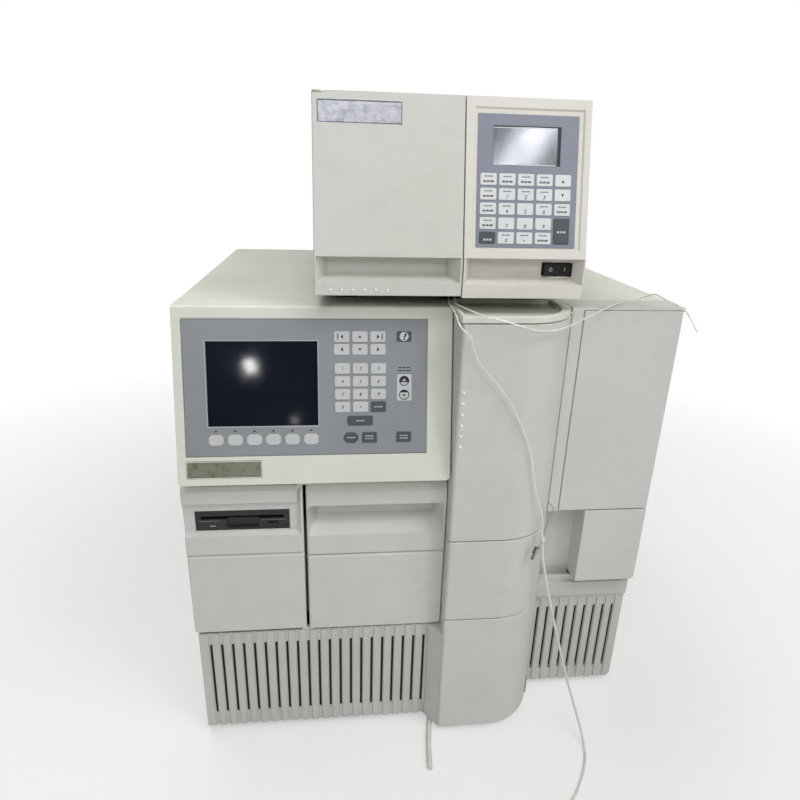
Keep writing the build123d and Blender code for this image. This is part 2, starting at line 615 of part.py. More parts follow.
oven_liner = block(oven_left + 6, case_width - skin - 1, top_strip_end + 0.5, oven_front + oven_depth,
                   oven_bottom, case_height - top_plate - 1)
oven_liner -= block(oven_left + 12, case_width - 12, top_strip_end, oven_front + oven_depth - 4, oven_bottom + 6,
                    case_height - top_plate - 7)
column_x, column_y = (oven_left + case_width) / 2 + 7, oven_front + oven_depth - 43
column_low, column_high = oven_bottom + 37, case_height - 37
column_radius = 5.0
column = upright(column_x, column_y, column_low + 10, column_high - 10, column_radius)
column += upright(column_x, column_y, column_low, column_low + 17, column_radius + 3)
column += upright(column_x, column_y, column_high - 17, column_high, column_radius + 3)
save("column", column)
for z in (column_low + 45, column_high - 50):
    clip = block(column_x - 11, column_x + 11, column_y - 8, oven_front + oven_depth - 3, z, z + 12)
    clip -= upright(column_x, column_y, z - 1, z + 13, column_radius + 0.05)
    clip -= block(column_x - 4, column_x + 4, column_y - 9, column_y, z - 1, z + 13)
    oven_liner += clip
save("oven_liner", oven_liner)

# ---------------------------------------------------------------- rear of the module
fan = block(fan_x - 60, fan_x + 60, case_depth - sheet - 25, case_depth - sheet, fan_z - 60, fan_z + 60)
fan -= along_y(fan_x, case_depth - 60, case_depth + 5, fan_z, fan_bore)
for angle in (45, 135, 225, 315):
    arm = Pos(fan_x, 0, fan_z) * Rot(0, angle, 0) * block(15, 58, case_depth - sheet - 25, case_depth - sheet - 21, -2, 2)
    fan += arm
fan += along_y(fan_x, case_depth - sheet - 25, case_depth - sheet - 19, fan_z, 20)
rotor = along_y(fan_x, case_depth - sheet - 18.7, case_depth - sheet - 4, fan_z, 18)
for step in range(7):
    blade = block(17, 52, -6, 6, -0.8, 0.8)
    blade = Rot(35, 0, 0) * blade
    rotor += Pos(fan_x, case_depth - sheet - 12, fan_z) * Rot(0, 360 / 7 * step, 0) * blade
save("fan_rotor", rotor)

for ring in (18, 30, 42, 54):
    bore = along_y(fan_x, case_depth - sheet - 3, case_depth + 1, fan_z, ring - 1.2)
    fan += along_y(fan_x, case_depth - sheet - 1.5, case_depth - sheet, fan_z, ring + 1.2) - bore
for angle in (45, 135):
    fan += Pos(fan_x, case_depth - sheet - 0.75, fan_z) * Rot(0, angle, 0) * Box(134, 1.5, 3)
save("fan_housing", fan)

inlet = block(446, 502, case_depth, case_depth + inlet_flange, 56, 92)
inlet += block(450.3, 497.7, case_depth - 22, case_depth, 60.3, 87.7)
inlet -= block(461, 487, case_depth - 17, case_depth + 4, 65, 83)
save("power_inlet", inlet)

def terminal_strip(x, y, z, ways):
    strip = block(x, x + 6 * ways + 3, y, y + inlet_flange, z, z + 12)
    for way in range(ways):
        strip -= block(x + 2.5 + 6 * way, x + 6.5 + 6 * way, y + 1, y + inlet_flange + 1, z + 3, z + 9)
    return strip


def shell_socket(x, y, z, width, height):
    socket = block(x, x + width, y, y + 1, z, z + height)
    socket += block(x + 6, x + width - 6, y, y + inlet_flange, z + 2, z + height - 2)
    socket -= block(x + 8, x + width - 8, y + 1.5, y + inlet_flange + 1, z + 4, z + height - 4)
    return socket


connector_left = 330.0
connectors = Part()
for drop in (0, 26, 52):
    connectors += terminal_strip(connector_left, case_depth, case_height - 120 - drop, 10)
connectors += shell_socket(connector_left, case_depth, case_height - 215, 66, 16)
connectors += shell_socket(connector_left, case_depth, case_height - 245, 42, 14)
connectors += shell_socket(connector_left + 50, case_depth, case_height - 245, 42, 14)
save("rear_connectors", connectors)

# ---------------------------------------------------------------- detector
right_end = detector_left + detector_width
cover_front = front_block + 1.6


def lean_y(z):
    return face_foot_y + (z - face_foot_z) * tan(face_lean)


def front_outline(drop):
    return [(detector_front, detector_bottom - drop), (detector_front, face_foot_z), (face_foot_y, face_foot_z),
            (face_top_y, detector_top), (front_block, detector_top), (front_block, detector_bottom - drop)]


cavity = [(recess_back + 5, detector_bottom + 3), (recess_back + 5, face_foot_z + 3),
          (lean_y(face_foot_z + 3) + 3.5, face_foot_z + 3), (lean_y(detector_top - 3) + 3.5, detector_top - 3),
          (front_block + 1, detector_top - 3), (front_block + 1, detector_bottom + 3)]

pivot_x = detector_left + 4.5
pivot_y = front_block - 3.5
ear_radius = 4.4
left_front = side_prism(front_outline(0), detector_left, detector_left + detector_split)
left_front = chamfer(left_front.edges().filter_by(Axis.Z).group_by(Axis.X)[0].group_by(Axis.Y)[-1], 3)
left_front = fillet(left_front.edges().filter_by(Plane.YZ).group_by(Axis.X)[0].sort_by(Axis.Y)[0:3], edge_round)
left_front -= side_prism(cavity, detector_left + skin, detector_left + detector_split - skin)
left_front -= funnel(detector_left + 2, detector_left + detector_split - 2, lip_top, face_foot_z,
                     detector_front - 0.01, 11, 5, 2, recess_back)
detector_plate = (5.5, 84.0, 129.2, 21.0)
plate_x, plate_w, plate_s, plate_h = detector_plate
left_front -= on_face(detector_face, plate_x - 0.5, plate_x + plate_w + 0.5, plate_s - 0.5, plate_s + plate_h + 0.5,
                      -1.2, 5)
left_front += upright(pivot_x, pivot_y, detector_bottom, detector_bottom + pin_reach + 3, ear_radius - 0.1)
left_front += upright(pivot_x, pivot_y, detector_top - 5 - pin_reach, detector_top, ear_radius - 0.1)
left_front -= upright(pivot_x, pivot_y, detector_top - 2.4, detector_top + 1, 9)
left_front -= upright(pivot_x, pivot_y, detector_bottom - 1, detector_bottom + pin_reach + 1, pin_radius + pin_play)
left_front -= upright(pivot_x, pivot_y, detector_top - 3.5 - pin_reach, detector_top, pin_radius + pin_play)
for step in range(6):
    left_front += Pos(detector_left + 16 + 11.8 * step, detector_front + 0.6, detector_bottom + 5.5) * Sphere(1.7)
save("detector_door", left_front)

name = on_face(detector_face, plate_x, plate_x + plate_w, plate_s, plate_s + plate_h, -1.2, -0.4)
save("detector_nameplate", name)

bezel_left = detector_left + detector_split + 1.3
right_front = side_prism(front_outline(right_lip_drop), bezel_left, right_end)
right_front = fillet(right_front.edges().filter_by(Plane.YZ).group_by(Axis.X)[-1].sort_by(Axis.Y)[0:3], edge_round)
right_front -= side_prism(cavity, bezel_left + skin, right_end - skin)
right_front -= funnel(bezel_left + 2, right_end - 2, lip_top - right_lip_drop, face_foot_z,
                      detector_front - 0.01, 9, 5, 2, recess_back)
right_front -= sunk(detector_face, 164.0, 276.5, 9.8, 147.6, 1.5, 1.5)
switch_width, switch_height = 35.5, 15.0
switch_left, switch_low = right_end - 41, detector_bottom + 18.5
switch_x, rocker_y = switch_left + switch_width / 2, recess_back + 3
right_front += block(switch_x - 4, switch_x + 4, recess_back + 1, recess_back + 7, switch_low - 4, face_foot_z - 1)
right_front -= block(switch_left, switch_left + switch_width, recess_back - 5, recess_back + 10, switch_low,
                     switch_low + switch_height)
right_front -= upright(switch_x, rocker_y, switch_low - 3, switch_low + switch_height + 3, 1.5 + pin_play)
for x in (bezel_left + 8, right_end - 20):
    right_front += block(x, x + 10, front_block - 2, cover_front, detector_bottom + 1, detector_bottom + 7)
    right_front += block(x, x + 10, front_block - 2, cover_front + 8, detector_top - 4.5, detector_top - 2)
save("detector_bezel", right_front)

lcd = (182.5, 70.7, 93.3, 38.5)
pad = on_face(detector_face, 166.5, 272.0, 11.3, 143.0, -1.5, -0.7)
pad -= on_face(detector_face, lcd[0], lcd[0] + lcd[1], lcd[2], lcd[2] + lcd[3], -5, 5)
save("detector_overlay", pad)
window = on_face(detector_face, lcd[0] + 0.2, lcd[0] + lcd[1] - 0.2, lcd[2] + 0.2, lcd[2] + lcd[3] - 0.2, -1.5, -0.9)
save("detector_display", window)

dkeys = Part()
for row in range(5):
    first = 1 if row == 4 else 0
    count = 5 - first - (1 if row > 2 else 0)
    dkeys += key_row(detector_face, 169.8 + 19.65 * first, 19.65, count, 17.0, 73.4 - 14.6 * row, 11.8, -0.7, -0.2, 1.0)
save("detector_keys_light", dkeys)
ddark = key_row(detector_face, 169.8, 19.65, 1, 17.0, 73.4 - 14.6 * 4, 11.8, -0.7, -0.2, 1.0)
ddark += key_row(detector_face, 169.8 + 19.65 * 4, 19.65, 1, 17.0, 73.4 - 14.6 * 4, 26.4, -0.7, -0.2, 1.0)
save("detector_keys_dark", ddark)

half = switch_width / 2 - 1.4
rocker = plan_prism([(-half, -5), (0, -1.5), (half, -5), (half, 3.5), (-half, 3.5)], switch_low + 1.0,
                    switch_low + switch_height - 1.0)
rocker = Pos(switch_x, rocker_y, 0) * Rot(0, 0, 6) * rocker
rocker += upright(switch_x, rocker_y, switch_low - 2, switch_low + switch_height + 2, 1.5)
save("power_rocker", rocker)

case_rear = detector_front + detector_length
shell = side_prism([(cover_front, detector_bottom + 2), (cover_front, detector_top), (case_rear, detector_top),
                    (case_rear, detector_bottom + 2)], detector_left, right_end)
shell -= side_prism([(front_block, detector_bottom - 5), (front_block, detector_top - 2), (case_rear - 2, detector_top - 2),
                     (case_rear - 2, detector_bottom - 5)], detector_left + 2, right_end - 2)
shell += upright(pivot_x, pivot_y, detector_top - 2, detector_top, ear_radius)
shell += block(pivot_x - ear_radius, pivot_x + ear_radius, pivot_y, cover_front + 1, detector_top - 2, detector_top)
shell += upright(pivot_x, pivot_y, detector_top - 2 - pin_reach, detector_top - 1, pin_radius)
inlet_x, inlet_z = right_end - 75, detector_bottom + 22
shell -= block(inlet_x, inlet_x + 48, case_rear - 5, case_rear + 1, inlet_z, inlet_z + 28)
exhaust_x, exhaust_z, exhaust_radius = detector_left + 60, detector_bottom + 110, 36.0
shell -= along_y(exhaust_x, case_rear - 5, case_rear + 1, exhaust_z, exhaust_radius)
for row in range(9):
    for side in (detector_left - 1, right_end - 3):
        shell -= block(side, side + 4, case_rear - 150, case_rear - 60, detector_bottom + 50 + 12 * row,
                       detector_bottom + 54 + 12 * row)
save("detector_cover", shell)

rear_parts = block(inlet_x - 4, inlet_x + 52, case_rear, case_rear + inlet_flange, inlet_z - 4, inlet_z + 32)
rear_parts += block(inlet_x + 0.3, inlet_x + 47.7, case_rear - 22, case_rear + 1, inlet_z + 0.3, inlet_z + 27.7)
rear_parts -= block(inlet_x + 11, inlet_x + 37, case_rear - 17, case_rear + 4, inlet_z + 5, inlet_z + 23)
for x in (bezel_left - 10, bezel_left + 60):
    rear_parts += terminal_strip(x, case_rear, detector_bottom + 120, 10)
guard = along_y(exhaust_x, case_rear, case_rear + 1.5, exhaust_z, exhaust_radius + 5)
guard -= along_y(exhaust_x, case_rear - 1, case_rear + 2, exhaust_z, exhaust_radius)
for ring in (10, 19, 28):
    guard += along_y(exhaust_x, case_rear, case_rear + 1.5, exhaust_z, ring + 1) - along_y(
        exhaust_x, case_rear - 1, case_rear + 2, exhaust_z, ring - 1)
for angle in (45, 135):
    guard += Pos(exhaust_x, case_rear + 0.75, exhaust_z) * Rot(0, angle, 0) * Box(2 * exhaust_radius + 6, 1.5, 3)
save("detector_rear", rear_parts + guard)

base_low = detector_bottom - 2.6
floor = block(detector_left + 2.3, right_end - 2.3, cover_front, case_rear - 2.3, base_low, detector_bottom - 0.4)
floor += block(detector_left + 2.3, right_end - 2.3, cover_front, cover_front + 2, base_low, detector_bottom + 8)
floor += upright(pivot_x, pivot_y, base_low, detector_bottom - 0.4, ear_radius)
floor += block(pivot_x - ear_radius, pivot_x + ear_radius, pivot_y, cover_front + 1, base_low, detector_bottom - 0.4)
floor += upright(pivot_x, pivot_y, detector_bottom - 1, detector_bottom + pin_reach, pin_radius)
save("detector_base", floor)

dfeet = Part()
for x in (detector_left + 35, right_end - 35):
    for y in (detector_front + 92, case_rear - 50):
        dfeet += upright(x, y, case_height, base_low, 14)
save("detector_feet", dfeet)

optics = block(detector_left + 2.3, bezel_left - 4, cover_front + 2.3, cover_front + 5, detector_bottom,
               detector_top - 2.3)
cell_left, cell_width, cell_low = detector_left + 37.5, 60.0, detector_bottom + 60
optics += block(cell_left, cell_left + cell_width, front_block - 12, cover_front + 2.5, cell_low, cell_low + 50)
for x in (cell_left + 15, cell_left + cell_width - 15):
    optics += along_y(x, front_block - 17, front_block - 12, cell_low + 15, 6)
save("optics_plate", optics)

# ---------------------------------------------------------------- filters behind the grilles
left_filter = block(6, grille_right - 3, grille_y + skin + 0.3, grille_y + skin + 8, 10, grille_top - 2)
right_filter = block(oven_left + 6, case_width - 6, right_grille_y + skin + 0.3, right_grille_y + skin + 8,
                     pan_wall + 1, 146)
save("grille_filters", left_filter + right_filter)

# ---------------------------------------------------------------- tubes
top = case_height
right = case_width
clip = block(298, 318, 100, 112, top, top + 10)
clip = chamfer(clip.edges().filter_by(Axis.Y).group_by(Axis.Z)[-1], 2)
save("tube_clip", clip)


def tube(name, points, diameter):
    # round tube on straight runs joined by arcs as large as the runs allow
    nodes = [Vector(*point) for point in points]
    radii = []
    for before, here, after in zip(nodes, nodes[1:], nodes[2:]):
        first, second = here - before, after - here
        turn = radians(first.get_angle(second))
        radii.append(0.45 * min(first.length, second.length) / tan(turn / 2))
    path = FilletPolyline(*nodes, radius=radii)
    start = Plane(nodes[0], z_dir=nodes[1] - nodes[0])
    solid = sweep(start * Circle(diameter / 2), path=path)
    ideal = 3.14159265 * diameter ** 2 / 4 * path.length
    print(name, "length", round(path.length, 1), "radii", [round(r, 1) for r in radii], "volume ratio",
          round(solid.volume / ideal, 4))
    save(name, solid)


capillary = 1.6
tube("capillary_right", [
    (311, 100, top + 5), (311, 86, top + 5), (307.5, 67, top + 4.6), (304.6, 48, top + 5.6), (307.0, 28, top + 6.2), (313.5, 6, top + 6),
    (325.5, -8.5, top + 3.6), (341.0, -13.0, top + 1), (362.2, -12.5, top - 5.4), (387.0, -5.5, top - 13.4), (415.0, 5.0, top - 12.6),
    (441.0, 21.0, top - 5.8), (473.2, 38.5, top + 3.2), (right - 71.8, 66.0, top + 4.6), (right - 61, 76.2, top + 4.8), (right - 52, 77.0, top + 5.6),
    (right - 44.4, 72.2, top + 8.4), (right - 41, 63.9, top + 12.2), (right - 42, 50.0, top + 16.6), (right - 47.5, 33.0, top + 18.5), (right - 46.5, 15.5, top + 16.8),
    (right - 38, 4.0, top + 13.4), (right - 34, -9.5, top + 7.5),
    (right - 31.5, -17.5, top), (right - 28.1, -22.5, top - 9)], capillary)
tube("capillary_down", [
    (304.5, 100, top + 4), (304.5, 86, top + 4), (300.2, 67, top + 4.8), (297.2, 45, top + 5.9), (296.9, 22, top + 5.4),
    (297.6, 7.0, top + 2.4), (299.0, -3.5, top - 4.5), (302.8, -6.0, top - 10.6), (308.6, -6.4, top - 14.4), (313.3, -5.6, top - 21),
    (316.1, -5.2, 532.0), (321.2, -6.0, 519.0), (332.0, -7.0, 504.6), (346.3, -7.0, 490.8), (360.4, -6.2, 471.6),
    (374.2, -4.2, 447.0), (387.9, -2.0, 418.5), (395.8, 0.0, 390.0), (401.9, 1.2, 361.0), (411.6, 3.6, 335.5),
    (union_x - 1.4, 5.6, 312.0), (union_x - 1.4, 5.6, union_top)], capillary)
tube("loop_tube", [
    (union_x + 1.4, 5.6, union_top), (union_x + 1.4, 5.6, 301.0), (424.4, 5.4, 313.0), (430.4, 7.4, 322.5),
    (431.3, 10.6, 330.5), (424.0, 10.6, 335.5)], capillary)
union = upright(union_x, union_y, union_bottom, union_top, 3.2)
save("tube_union", union)
tube("drain_tube", [
    (union_x + 0.9, union_y + 0.2, union_bottom), (union_x + 0.9, union_y + 0.2, 272.0), (427.0, 5.0, 246.0),
    (435.6, 3.8, 212.0),
    (446.2, 2.0, 171.3), (459.2, -0.6, 127.0), (472.4, -3.2, 82.0), (485.3, -7.0, 42.3), (494.6, -15.0, 13.0),
    (497.6, -31.0, -4.4), (491.5, -55.0, drain_z), (477.0, -80.0, drain_z), (456.2, -107.0, drain_z),
    (431.0, -131.0, drain_z)], drain)
wire_end = (413.4, 0.3, 280.4)
nut_line = Vector(-5.9, -2.0, -15.5)
nut_plane = Plane(wire_end, z_dir=nut_line)
nut = nut_plane * Pos(0, 0, 4) * extrude(RegularPolygon(4.0, 6), 4, both=True)
nut += nut_plane * Pos(0, 0, 12) * Cylinder(2.4, 8)
wire_start = Plane((union_x - 2.2, union_y - 1.0, union_bottom), z_dir=(0, 0, -1))
wire_path = Spline([(union_x - 2.2, union_y - 1.0, union_bottom), Vector(*wire_end) + nut_line * 0.05],
                   tangents=[(0, 0, -1), nut_line])
nut += sweep(wire_start * Circle(0.5), path=wire_path)
save("hanging_fitting", nut)
tube("drain_hose", [
    (hose_x, hose_y, hose_z), (hose_x, 48.0, hose_z), (298.6, 28.0, hose_z), (294.8, 8.0, hose_z),
    (291.4, -12.0, hose_z), (288.4, -34.0, hose_z), (286.9, -56.0, hose_z)], hose)
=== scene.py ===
import math

import bmesh
import bpy
from mathutils import Matrix, Vector


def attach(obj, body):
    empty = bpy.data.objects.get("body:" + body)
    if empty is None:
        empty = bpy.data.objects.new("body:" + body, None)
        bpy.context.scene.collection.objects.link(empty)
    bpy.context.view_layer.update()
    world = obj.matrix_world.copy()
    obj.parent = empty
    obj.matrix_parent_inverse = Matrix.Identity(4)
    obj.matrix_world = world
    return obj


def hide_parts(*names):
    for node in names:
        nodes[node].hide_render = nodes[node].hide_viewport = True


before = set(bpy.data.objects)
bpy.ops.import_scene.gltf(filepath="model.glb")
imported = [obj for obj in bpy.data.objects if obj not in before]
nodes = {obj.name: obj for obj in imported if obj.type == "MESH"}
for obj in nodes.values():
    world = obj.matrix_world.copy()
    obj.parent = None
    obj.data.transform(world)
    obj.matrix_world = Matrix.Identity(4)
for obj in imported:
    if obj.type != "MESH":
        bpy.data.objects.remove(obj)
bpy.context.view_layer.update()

# the drawing's lower left front corner, in millimetres from the frame's origin
corner = {"x": -286.0, "y": -265.9, "z": 8.0}


def at(x, y, z):
    return Vector((x + corner["x"], y + corner["y"], z + corner["z"])) / 1000


# camera fitted to a lens of about 27 mm on a 36 mm wide frame
camera = {
    "place": (174.39, -605.938, 704.082),
    "turn": 6.1716,
    "dip": 20.5394,
    "roll": -1.6109,
    "focal": 611.51,
    "centre": (398.628, 397.409),
    "frame": 800,
}


def makeCamera(s):
    turn, dip, roll = (math.radians(s[k]) for k in ("turn", "dip", "roll"))
    ahead = Vector((math.sin(turn) * math.cos(dip), math.cos(turn) * math.cos(dip), -math.sin(dip)))
    right = Vector((math.cos(turn), -math.sin(turn), 0))
    down = ahead.cross(right)
    right, down = (math.cos(roll) * right + math.sin(roll) * down, math.cos(roll) * down - math.sin(roll) * right)
    data = bpy.data.cameras.new("camera")
    data.sensor_width = 36
    data.lens = 36 * s["focal"] / s["frame"]
    data.shift_x = (s["frame"] / 2 - s["centre"][0]) / s["frame"]
    data.shift_y = (s["centre"][1] - s["frame"] / 2) / s["frame"]
    data.clip_start = 0.01
    data.clip_end = 30
    eye = bpy.data.objects.new("camera", data)
    eye.matrix_world = Matrix.Translation(at(*s["place"])) @ Matrix((right, -down, -ahead)).transposed().to_4x4()
    bpy.context.scene.collection.objects.link(eye)
    bpy.context.scene.camera = eye
    return eye


makeCamera(camera)
print("camera stands")

studio = {
    "sky": (1.0, 1.0, 1.0),
    "skyPower": 0.06,
    "backdropPower": 1.0,
    "floorSize": 12.0,
    "floorTone": (0.80, 0.80, 0.80),
    # metres from the middle where the fade starts and ends, and its share there
    "floorFade": (0.45, 1.5, 0.45, 1.0),
    # name: place, aimed at, width, depth, watts, colour, turn about its own axis
    "lamps": {
        "key": ((1.55, -1.15, 2.75), (0.0, -0.1, 0.45), 0.9, 0.9, 20, (1.0, 0.995, 0.98), 0),
        "canopy": ((0.3, -1.75, 2.75), (0.0, -0.25, 0.45), 2.2, 1.2, 30, (1.0, 1.0, 1.0), 0),
        "lowRight": ((1.6, -2.0, 1.5), (0.0, -0.25, 0.4), 0.5, 0.5, 8.5, (1.0, 1.0, 1.0), 0),
        "lowLeft": ((-0.95, -2.4, 1.65), (0.0, -0.25, 0.4), 0.8, 0.6, 10.5, (1.0, 1.0, 1.0), 0),
        "overhead": ((-0.7, 0.8, 3.0), (-0.1, 0.05, 0.57), 2.0, 1.6, 41, (1.0, 1.0, 1.0), 0),
        "strip": ((0.70, -2.09, 1.70), (0.084, -0.2146, 0.736), 0.62, 0.075, 1.1, (0.98, 0.97, 1.0), 50),
        "spot": ((-0.505, -2.388, 0.795), (-0.205, -0.228, 0.5075), 0.045, 0.06, 0.36, (1.0, 1.0, 1.0), 25),
        "glint": ((-0.306, -2.434, 0.547), (-0.15, -0.24, 0.46), 0.035, 0.03, 0.02, (1.0, 0.97, 0.92), 0),
    },
}


def aim(place, target, turn):
    facing = (Vector(target) - Vector(place)).to_track_quat("-Z", "Y").to_matrix().to_4x4()
    return Matrix.Translation(place) @ facing @ Matrix.Rotation(math.radians(turn), 4, "Z")


def makeStudio(s):
    world = bpy.data.worlds.new("studio")
    world.use_nodes = True
    tree = world.node_tree
    sky = tree.nodes["Background"]
    sky.inputs["Color"].default_value = (*s["sky"], 1)
    sky.inputs["Strength"].default_value = s["skyPower"]
    backdrop = tree.nodes.new("ShaderNodeBackground")
    backdrop.inputs["Color"].default_value = (*s["sky"], 1)
    backdrop.inputs["Strength"].default_value = s["backdropPower"]
    seen = tree.nodes.new("ShaderNodeLightPath")
    chosen = tree.nodes.new("ShaderNodeMixShader")
    tree.links.new(seen.outputs["Is Camera Ray"], chosen.inputs["Fac"])
    tree.links.new(sky.outputs[0], chosen.inputs[1])
    tree.links.new(backdrop.outputs[0], chosen.inputs[2])
    tree.links.new(chosen.outputs[0], tree.nodes["World Output"].inputs["Surface"])
    bpy.context.scene.world = world
    bpy.context.scene.view_settings.view_transform = "Standard"
    for name, (place, target, width, depth, watts, colour, turn) in s["lamps"].items():
        data = bpy.data.lights.new(name, "AREA")
        data.shape = "RECTANGLE"
        data.size, data.size_y, data.energy, data.color = width, depth, watts, colour
        lamp = bpy.data.objects.new(name, data)
        lamp.matrix_world = aim(place, target, turn)
        bpy.context.scene.collection.objects.link(lamp)
    bm = bmesh.new()
    bmesh.ops.create_grid(bm, x_segments=1, y_segments=1, size=s["floorSize"] / 2)
    mesh = bpy.data.meshes.new("floor")
    bm.to_mesh(mesh)
    bm.free()
    floor = bpy.data.objects.new("floor", mesh)
    mat = bpy.data.materials.new("paleFloor")
    mat.use_nodes = True
    shader = mat.node_tree.nodes["Principled BSDF"]
    shader.inputs["Base Color"].default_value = (*s["floorTone"], 1)
    shader.inputs["Roughness"].default_value = 0.9
    # towards the horizon the camera sees the floor fade into the backdrop
    floorTree = mat.node_tree
    glow = floorTree.nodes.new("ShaderNodeEmission")
    glow.inputs["Strength"].default_value = s["backdropPower"]
    place = floorTree.nodes.new("ShaderNodeTexCoord")
    reach = floorTree.nodes.new("ShaderNodeVectorMath")
    reach.operation = "LENGTH"
    fade = floorTree.nodes.new("ShaderNodeMapRange")
    for key, value in zip(("From Min", "From Max", "To Min", "To Max"), s["floorFade"]):
        fade.inputs[key].default_value = value
    path = floorTree.nodes.new("ShaderNodeLightPath")
    onlySeen = floorTree.nodes.new("ShaderNodeMath")
    onlySeen.operation = "MULTIPLY"
    blend = floorTree.nodes.new("ShaderNodeMixShader")
    floorTree.links.new(place.outputs["Object"], reach.inputs[0])
    floorTree.links.new(reach.outputs["Value"], fade.inputs["Value"])
    floorTree.links.new(fade.outputs["Result"], onlySeen.inputs[0])
    floorTree.links.new(path.outputs["Is Camera Ray"], onlySeen.inputs[1])
    floorTree.links.new(onlySeen.outputs["Value"], blend.inputs["Fac"])
    floorTree.links.new(shader.outputs[0], blend.inputs[1])
    floorTree.links.new(glow.outputs[0], blend.inputs[2])
    floorTree.links.new(blend.outputs[0], floorTree.nodes["Material Output"].inputs["Surface"])
    mesh.materials.append(mat)
    bpy.context.scene.collection.objects.link(floor)


makeStudio(studio)
print("studio lit")


class Finish:
    def __init__(self, name):
        self.mat = bpy.data.materials.new(name)
        self.mat.use_nodes = True
        self.tree = self.mat.node_tree
        self.shader = self.tree.nodes["Principled BSDF"]
        self.coords = self.tree.nodes.new("ShaderNodeTexCoord").outputs["Object"]

    def node(self, kind, **values):
        made = self.tree.nodes.new(kind)
        for key, value in values.items():
            if key in made.inputs:
                made.inputs[key].default_value = value
            else:
                setattr(made, key, value)
        return made

    def link(self, out, into):
        self.tree.links.new(out, into)

    def stretched(self, scale):
        mapping = self.node("ShaderNodeMapping", Scale=scale)
        self.link(self.coords, mapping.inputs["Vector"])
        return mapping.outputs["Vector"]

    def noise(self, scale, detail=3, rough=0.5, vector=None):
        made = self.node("ShaderNodeTexNoise", Scale=scale, Detail=detail, Roughness=rough)
        self.link(vector or self.coords, made.inputs["Vector"])
        return made.outputs["Fac"]

    def band(self, value, low, high, start=0.0, end=1.0):
        made = self.node("ShaderNodeMapRange")
        made.inputs["From Min"].default_value = low
        made.inputs["From Max"].default_value = high
        made.inputs["To Min"].default_value = start
        made.inputs["To Max"].default_value = end
        self.link(value, made.inputs["Value"])
        return made.outputs["Result"]

    def mix(self, fac, first, second):
        made = self.node("ShaderNodeMix", data_type="RGBA")
        self.link(fac, made.inputs["Factor"])
        for side, colour in (("A", first), ("B", second)):
            socket = [i for i in made.inputs if i.name == side and i.type == "RGBA"][0]
            if isinstance(colour, tuple):
                socket.default_value = (*colour, 1)
            else:
                self.link(colour, socket)
        return [o for o in made.outputs if o.type == "RGBA"][0]

    def bump(self, height, strength, distance, under=None):
        made = self.node("ShaderNodeBump", Strength=strength, Distance=distance)
        self.link(height, made.inputs["Height"])
        if under:
            self.link(under, made.inputs["Normal"])
        return made.outputs["Normal"]

    def softEdge(self, radius):
        return self.node("ShaderNodeBevel", samples=4, Radius=radius).outputs["Normal"]

    def colour(self, value):
        self.link(value, self.shader.inputs["Base Color"])

    def rough(self, value):
        self.link(value, self.shader.inputs["Roughness"])

    def normal(self, value):
        self.link(value, self.shader.inputs["Normal"])

    def fixed(self, **values):
        for key, value in values.items():
            self.shader.inputs[key.replace("_", " ")].default_value = value


def linear(red, green, blue):
    return tuple((v / 255 / 12.92) if v <= 10 else ((v / 255 + 0.055) / 1.055) ** 2.4 for v in (red, green, blue))


plastics = {
    # name: tone, aged tone, grain size per metre, grain depth, roughness low and high
    "casingPlastic": ((226, 227, 216), (219, 220, 207), 950, 0.35, 0.42, 0.56),
    "detectorPlastic": ((214, 213, 208), (208, 208, 200), 950, 0.35, 0.42, 0.56),
    "bezelPlastic": ((228, 225, 219), (222, 219, 211), 950, 0.35, 0.42, 0.56),
    "doorPlastic": ((210, 209, 205), (204, 203, 197), 950, 0.35, 0.42, 0.56),
    "grillePlastic": ((200, 200, 196), (192, 193, 186), 950, 0.3, 0.45, 0.6),
    "linerPlastic": ((186, 188, 182), (176, 178, 170), 500, 0.2, 0.5, 0.62),
    "blackPlastic": ((30, 31, 33), (40, 40, 41), 1200, 0.3, 0.38, 0.52),
    "rackPlastic": ((52, 58, 66), (60, 64, 70), 1200, 0.2, 0.4, 0.55),
    "footRubber": ((34, 34, 35), (44, 43, 42), 700, 0.4, 0.7, 0.85),
    "overlayGrey": ((147, 151, 156), (140, 144, 148), 2600, 0.08, 0.34, 0.44),
    "overlayBlue": ((142, 146, 160), (135, 139, 152), 2600, 0.08, 0.34, 0.44),
    "keyLight": ((203, 205, 205), (195, 198, 197), 2600, 0.06, 0.34, 0.44),
    "keyWhite": ((228, 230, 231), (220, 223, 223), 2600, 0.06, 0.32, 0.42),
    "keyDark": ((84, 88, 94), (76, 80, 86), 2600, 0.06, 0.32, 0.42),
    "whiteTube": ((226, 228, 222), (214, 216, 206), 300, 0.1, 0.22, 0.34),
    "paintedSheet": ((198, 199, 188), (188, 189, 176), 420, 0.25, 0.36, 0.48),
    "ink": ((44, 47, 52), (40, 43, 48), 2600, 0.02, 0.4, 0.5),
    "softInk": ((108, 111, 117), (100, 103, 109), 2600, 0.02, 0.4, 0.5),
    "paleInk": ((206, 208, 208), (196, 198, 198), 2600, 0.02, 0.4, 0.5),
    # paintedHighlight: pale tone for the painted highlights on the nameplate rims and the studs
    "paintedHighlight": ((238, 239, 232), (230, 231, 222), 950, 0.1, 0.3, 0.4),
    # paintedShadeLine: dark tone for the painted shade lines along the keypad overlay's edges
    "paintedShadeLine": ((92, 95, 100), (86, 89, 94), 2600, 0.02, 0.4, 0.5),
}


def makePlastic(name, tone, aged, grain, depth, low, high):
    f = Finish(name)
    patches = f.band(f.noise(5.5, 4, 0.6), 0.35, 0.7)
    smears = f.band(f.noise(38, 5, 0.7), 0.5, 0.78, 0, 0.35)
    f.colour(f.mix(smears, f.mix(patches, linear(*tone), linear(*aged)), linear(*(v * 0.93 for v in aged))))
    f.rough(f.band(f.noise(60, 4, 0.6), 0.3, 0.7, low, high))
    f.normal(f.bump(f.noise(grain, 2, 0.6), depth, 0.0003, f.softEdge(0.0009)))
    return f.mat


finishes = {name: makePlastic(name, *values) for name, values in plastics.items()}

